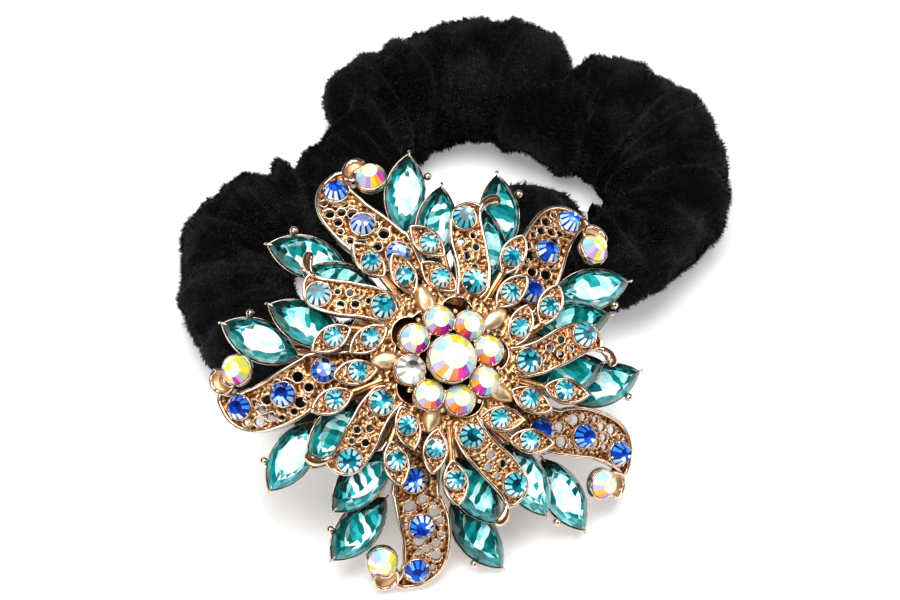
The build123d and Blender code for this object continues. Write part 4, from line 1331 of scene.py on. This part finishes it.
def ring_shift():
    """From the ring's own frame to the part's, in millimetres, found by the brooch's seat on the tube.

    Gives the move, the way the brooch faces and the middle of its back in the ring's frame."""
    (seat_point,), (way,), (outside,), (within,), (rise,) = cover_route([0.0])
    girth = (outside + within) / 2
    lean, turn = math.radians(BROOCH_LEAN), math.radians(BROOCH_TURN)
    face = np.array([math.sin(lean) * math.sin(turn), -math.sin(lean) * math.cos(turn), math.cos(lean)])
    centre = np.array([*(seat_point - way * SEAT_SHIFT), rise + PLEAT_DEPTH]) + face * (girth - SEAT_DENT)
    return BROOCH[:3, 3] / MM - centre, face, centre


def wave(turn, around, long, short, layer):
    """Noise with so many bends round the ring and round the tube."""
    return noise.noise(Vector((long * math.cos(turn) + short * math.cos(around),
                               long * math.sin(turn) + short * math.sin(around), layer)))


def wrinkle(step, around):
    """How far the cloth stands out of its smooth tube, in millimetres."""
    turn = 2 * math.pi * step
    out = sum(height * wave(turn, around, *bends) for *bends, height in WAVES)
    out -= FURROW_DEPTH * math.exp(-(abs(wave(turn, around, *FURROWS)) / FURROW_WIDTH) ** 2)
    for place, width, reach, centre, spread in PUFFS:
        swing = (math.degrees(around) - centre + 180) % 360 - 180
        out += reach * math.exp(-((step - place) / width) ** 2 - (swing / spread) ** 2)
    for place, width, depth, centre, spread in CREASES:
        swing = (math.degrees(around) - centre + 180) % 360 - 180
        off = (step - place + 0.5) % 1 - 0.5
        off += CREASE_SWAY * math.sin(math.radians(swing) * 1.5 + 40 * place)
        out -= depth * math.exp(-(off / width) ** 2 - (swing / spread) ** 2)
        out += CREASE_LIP * depth * math.exp(-((abs(off) - 2 * width) / width) ** 2 - (swing / spread) ** 2)
    return out


def cover_surface():
    """Grid of the cloth's points in the part's millimetres."""
    steps = np.arange(COVER_STEPS) / COVER_STEPS
    centre, way, outside, within, rise = cover_route(steps)
    move, face, seat_centre = ring_shift()
    angles = 2 * np.pi * (np.arange(COVER_SIDES) + 0.5) / COVER_SIDES - np.pi / 2
    cos, sin = np.cos(angles), np.sin(angles)
    out = np.array([[wrinkle(s, b) for b in angles] for s in steps]) - CLOTH_INSET
    side = np.where(cos[None] > 0, outside[:, None], within[:, None]) + out
    height = (outside + within)[:, None] / 2 + out
    reach = side * cos[None]
    z = np.maximum(rise[:, None] + height * sin[None], CLOTH_LOW)
    grid = np.stack([centre[:, :1] - way[:, 1:] * reach, centre[:, 1:] + way[:, :1] * reach, z], -1)
    above = (grid - seat_centre) @ face + SEAT_GAP
    grid -= np.clip(above, 0, None)[..., None] * face
    return grid + move


def cover_piece(grid):
    rows, sides = grid.shape[:2]
    index = np.arange(rows * sides).reshape(rows, sides)
    after, beside = np.roll(index, -1, axis=0), np.roll(index, -1, axis=1)
    both = np.roll(after, -1, axis=1)
    faces = np.stack([index, beside, both, after], -1).reshape(-1, 4)
    shape = Shape()
    shape.add((grid.reshape(-1, 3), faces.tolist()))
    cover = shape.make("plush_cover", [PLUSH], PART, "black_plush", ["scrunchie_cover"])


def pile_piece(name, grid, count, first, last):
    """Short leaning hairs of the plush between two steps of the ring, each a thin triangle."""
    along = np.roll(grid, -1, axis=0) - np.roll(grid, 1, axis=0)
    round_way = np.roll(grid, -1, axis=1) - np.roll(grid, 1, axis=1)
    normal = np.cross(round_way, along)
    normal /= np.maximum(np.linalg.norm(normal, axis=2), 1e-9)[..., None]
    along /= np.linalg.norm(along, axis=2)[..., None]
    middle_line = grid.mean(axis=1, keepdims=True)
    if ((grid - middle_line) * normal).sum() < 0:
        normal = -normal
    i = dice.integers(first, last, count)
    j = dice.integers(0, COVER_SIDES, count)
    f, g = dice.random((2, count, 1))
    i2, j2 = (i + 1) % COVER_STEPS, (j + 1) % COVER_SIDES
    root = ((1 - f) * (1 - g) * grid[i, j] + f * (1 - g) * grid[i2, j] + (1 - f) * g * grid[i, j2]
            + f * g * grid[i2, j2])
    up = normal[i, j]
    lean = np.array([noise.noise_vector(Vector(p * LEAN_SCALE)) for p in root])
    lean = lean * PILE_LEAN[0] + PILE_LEAN[1] * along[i, j] + (0, 0, PILE_LEAN[2])
    lean -= (lean * up).sum(axis=1)[:, None] * up
    tuft = np.array([noise.noise(Vector(p * TUFT_SCALE)) for p in root])[:, None]
    way = up + lean + dice.normal(0, HAIR_STRAY, (count, 3))
    way /= np.linalg.norm(way, axis=1)[:, None]
    mean, tufts, hairs = PILE_UNEVEN
    length = PILE_LENGTH * (mean + tufts * tuft + dice.uniform(-hairs, hairs, (count, 1)))
    across = np.cross(way, dice.normal(0, 1, (count, 3)))
    across *= PILE_WIDTH / 2 / np.linalg.norm(across, axis=1)[:, None]
    tips = root + way * length
    scatter = dice.normal(0, TUFT_SCATTER, grid.shape)
    tuft_root = (grid + scatter)[i // TUFT_STEPS * TUFT_STEPS, j]
    tips += TUFT_PULL * (tuft_root + (up + lean) * PILE_LENGTH - tips)
    root = root - up * PILE_ROOT
    for points in (tips, root):
        points[:, 2] = np.maximum(points[:, 2], PILE_LOW)
    points = np.stack([root - across, root + across, tips], 1).reshape(-1, 3)
    shape = Shape()
    shape.add((points, np.arange(3 * count).reshape(-1, 3).tolist()))
    shape.make(name, [PILE], PART, "black_plush", recalc=False)


def refinish(node, material):
    """Give a CAD node that stays its finish."""
    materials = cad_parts[node].data.materials
    materials.clear()
    materials.append(material)


def scrunchie():
    grid = cover_surface()
    cover_piece(grid)
    for k in range(PILE_PIECES):
        first, last = (COVER_STEPS * n // PILE_PIECES for n in (k, k + 1))
        pile_piece(f"plush_pile_{k + 1}", grid, PILE_COUNT // PILE_PIECES, first, last)
    refinish("elastic_core", elastic_finish())


# Brooch

def castings():
    for name, build, node in (("lower_leaves", lower_leaves, "lower_leaf_casting"),
                              ("upper_leaves", upper_leaves, "upper_leaf_casting"),
                              ("cluster_setting", cluster_setting, "cluster_casting"),
                              ("marquise_cups", marquise_cups, "marquise_setting")):
        build().make(name, METALS, BROOCH, "rose_gold", [node])
    refinish("back_plate", METALS[RIM])


def cut_piece(name, node, look, stones):
    """Piece of cut stones. Each stone is its points, its facets, their shades and its place."""
    material, slot = look
    shape = Shape()
    for points, faces, shades, place in stones:
        shape.add((points, faces), shades=shades, smooth=False, place=place)
    shape.make(name, [material], BROOCH, slot, [node])


def round_stone(node, diameter, place, sides, colours=None, turn=0):
    """Large round stone. One with an aurora coating has colours, a clear one has none."""
    points, faces, kinds, angles = chaton(diameter, sides, ROUND_TABLE, 1.0 if colours else CLEAR_WEDGE)
    if colours:
        shades = aurora_shades(kinds, angles, turn, *colours)
    else:
        shades = foil_reflection_shades(kinds, angles, turn)
    cut_piece(f"cut_{node}", node, AURORA if colours else CLEAR, [(points, faces, shades, place @ REST)])


def main_stones():
    round_stone("centre_stone", CENTRE_STONE, shift(0, 0, CENTRE_TOP), 18, CLUSTER_COLOURS)
    for k in range(1, CLUSTER_COUNT + 1):
        place = shift(*polar(CLUSTER_RADIUS, CLUSTER_TURN + 360 * (k - 1) / CLUSTER_COUNT), CLUSTER_TOP)
        look = (20,) if k == CLEAR_STONE else (12, CLUSTER_COLOURS)
        round_stone(f"cluster_stone_{k}", CLUSTER_STONE, place, *look)
    for k, turn in enumerate(leaf_turns(), 1):
        round_stone(f"curl_stone_{k}", CURL_STONE, curl_place(turn), 14, CURL_COLOURS, LOWER_TURN + turn)
    for name, places, level, splits in (("outer", OUTER_PLACES, OUTER_LEVEL, OUTER_SPLITS),
                                        ("inner", INNER_PLACES, INNER_LEVEL, INNER_SPLITS)):
        for k, (radius, angle, direction) in enumerate(all_round(places), 1):
            place = shift(*polar(radius, angle), level + STAR_METAL + STONE_GAP) @ spin(direction)
            stone = (*marquise(direction, splits[k - 1]), place)
            cut_piece(f"cut_{name}_marquise_{k}", f"{name}_marquise_{k}", TEAL, [stone])


def stone_field(name, node, diameter, look, spots, tones=TABLE_TONES):
    """Many small stones as one piece. Spots are pairs of a place and how far it is turned."""
    stones = []
    for place, turn in spots:
        roll = chance.uniform(0, 45)
        points, faces, kinds, angles = chaton(diameter, 20, SMALL_TABLE, SMALL_WEDGE)
        shades = foil_reflection_shades(kinds, angles, turn + roll, tones)
        stones.append((points, faces, shades, place @ REST @ spin(roll)))
    cut_piece(name, node, look, stones)


def small_stones():
    turns = leaf_turns()
    sapphires = [(lower_place(*row, turn), LOWER_TURN + turn) for turn in turns for row in SAPPHIRE_PLACES]
    leaves = [(upper_place(*row, turn), UPPER_TURN + turn) for turn in turns for row in LEAF_STONE_PLACES]
    small = [(SLIDE @ shift(*polar(radius, angle), UPPER_TOP), 0)
             for radius, angle, _ in all_round(SMALL_LEAVES)]
    stone_field("cut_sapphires", "sapphire_stones", LEAF_STONE, SAPPHIRE, sapphires)
    stone_field("cut_leaf_stones", "leaf_stones", LEAF_STONE, AQUA, leaves)
    stone_field("cut_small_leaf_stones", "small_leaf_stones", SMALL_STONE, AQUA, small, PALE_TONES)


# Stage, light and camera

FLOOR_GLOW = 0.28
WORLD_GLOW = 0.1
LAMP_TARGET = (0, 0, 0.02)
LAMPS = [
    # name, place, width, height, power
    ("key", (-0.05, -0.12, 0.93), 0.75, 0.75, 12),
    ("front", (-0.35, -0.75, 0.45), 0.3, 0.4, 2.4),
    ("side", (0.8, -0.1, 0.4), 0.25, 0.6, 2.0),
]
CAMERA_RISE = 48.0  # degrees above the floor
CAMERA_AWAY = 0.56
CAMERA_FOCUS = 140.0  # lens on a sensor 36 mm wide
FRAME_SIZE = (900, 600)
BROOCH_PIXEL = (433.3, 371.1)  # where the brooch's middle stands in the frame


def stage():
    bpy.ops.mesh.primitive_plane_add(size=6)
    floor = bpy.context.object
    floor.name = "floor"
    finish = Finish("floor_white", Roughness=0.6, Emission_Strength=FLOOR_GLOW, Emission_Color=(1, 1, 1, 1))
    whites = [(0.3, (0.93, 0.93, 0.93)), (0.7, (0.96, 0.96, 0.96))]
    finish.set("Base Color", finish.ramp(finish.noise(3, 2), whites))
    floor.data.materials.append(finish.material)


def aimed(name, data, spot, way):
    """Lamp or camera that looks that way."""
    made = bpy.data.objects.new(name, data)
    bpy.context.scene.collection.objects.link(made)
    made.location = spot
    made.rotation_euler = way.to_track_quat("-Z", "Y").to_euler()
    return made


def light():
    world = bpy.data.worlds.new("studio")
    bpy.context.scene.world = world
    world.use_nodes = True
    sky = world.node_tree.nodes["Background"].inputs
    sky["Color"].default_value = (1, 1, 1, 1)
    sky["Strength"].default_value = WORLD_GLOW
    for name, spot, width, height, power in LAMPS:
        lamp = bpy.data.lights.new(name, "AREA")
        lamp.shape = "RECTANGLE"
        lamp.size, lamp.size_y = width, height
        lamp.energy = power
        aimed(name, lamp, spot, Vector(LAMP_TARGET) - Vector(spot))


def camera():
    rise = math.radians(CAMERA_RISE)
    back = Vector((0, -math.cos(rise), math.sin(rise)))
    lens = bpy.data.cameras.new("camera")
    lens.lens = CAMERA_FOCUS
    lens.sensor_width = 36.0
    width, height = FRAME_SIZE
    lens.shift_x = (width / 2 - BROOCH_PIXEL[0]) / width
    lens.shift_y = (BROOCH_PIXEL[1] - height / 2) / width
    lens.clip_start, lens.clip_end = 0.01, 20
    bpy.context.scene.camera = aimed("camera", lens, Vector(BROOCH[:3, 3]) + back * CAMERA_AWAY, -back)


stage()
light()
camera()
scrunchie()
castings()
main_stones()
small_stones()
bpy.context.scene.view_settings.view_transform = "Standard"
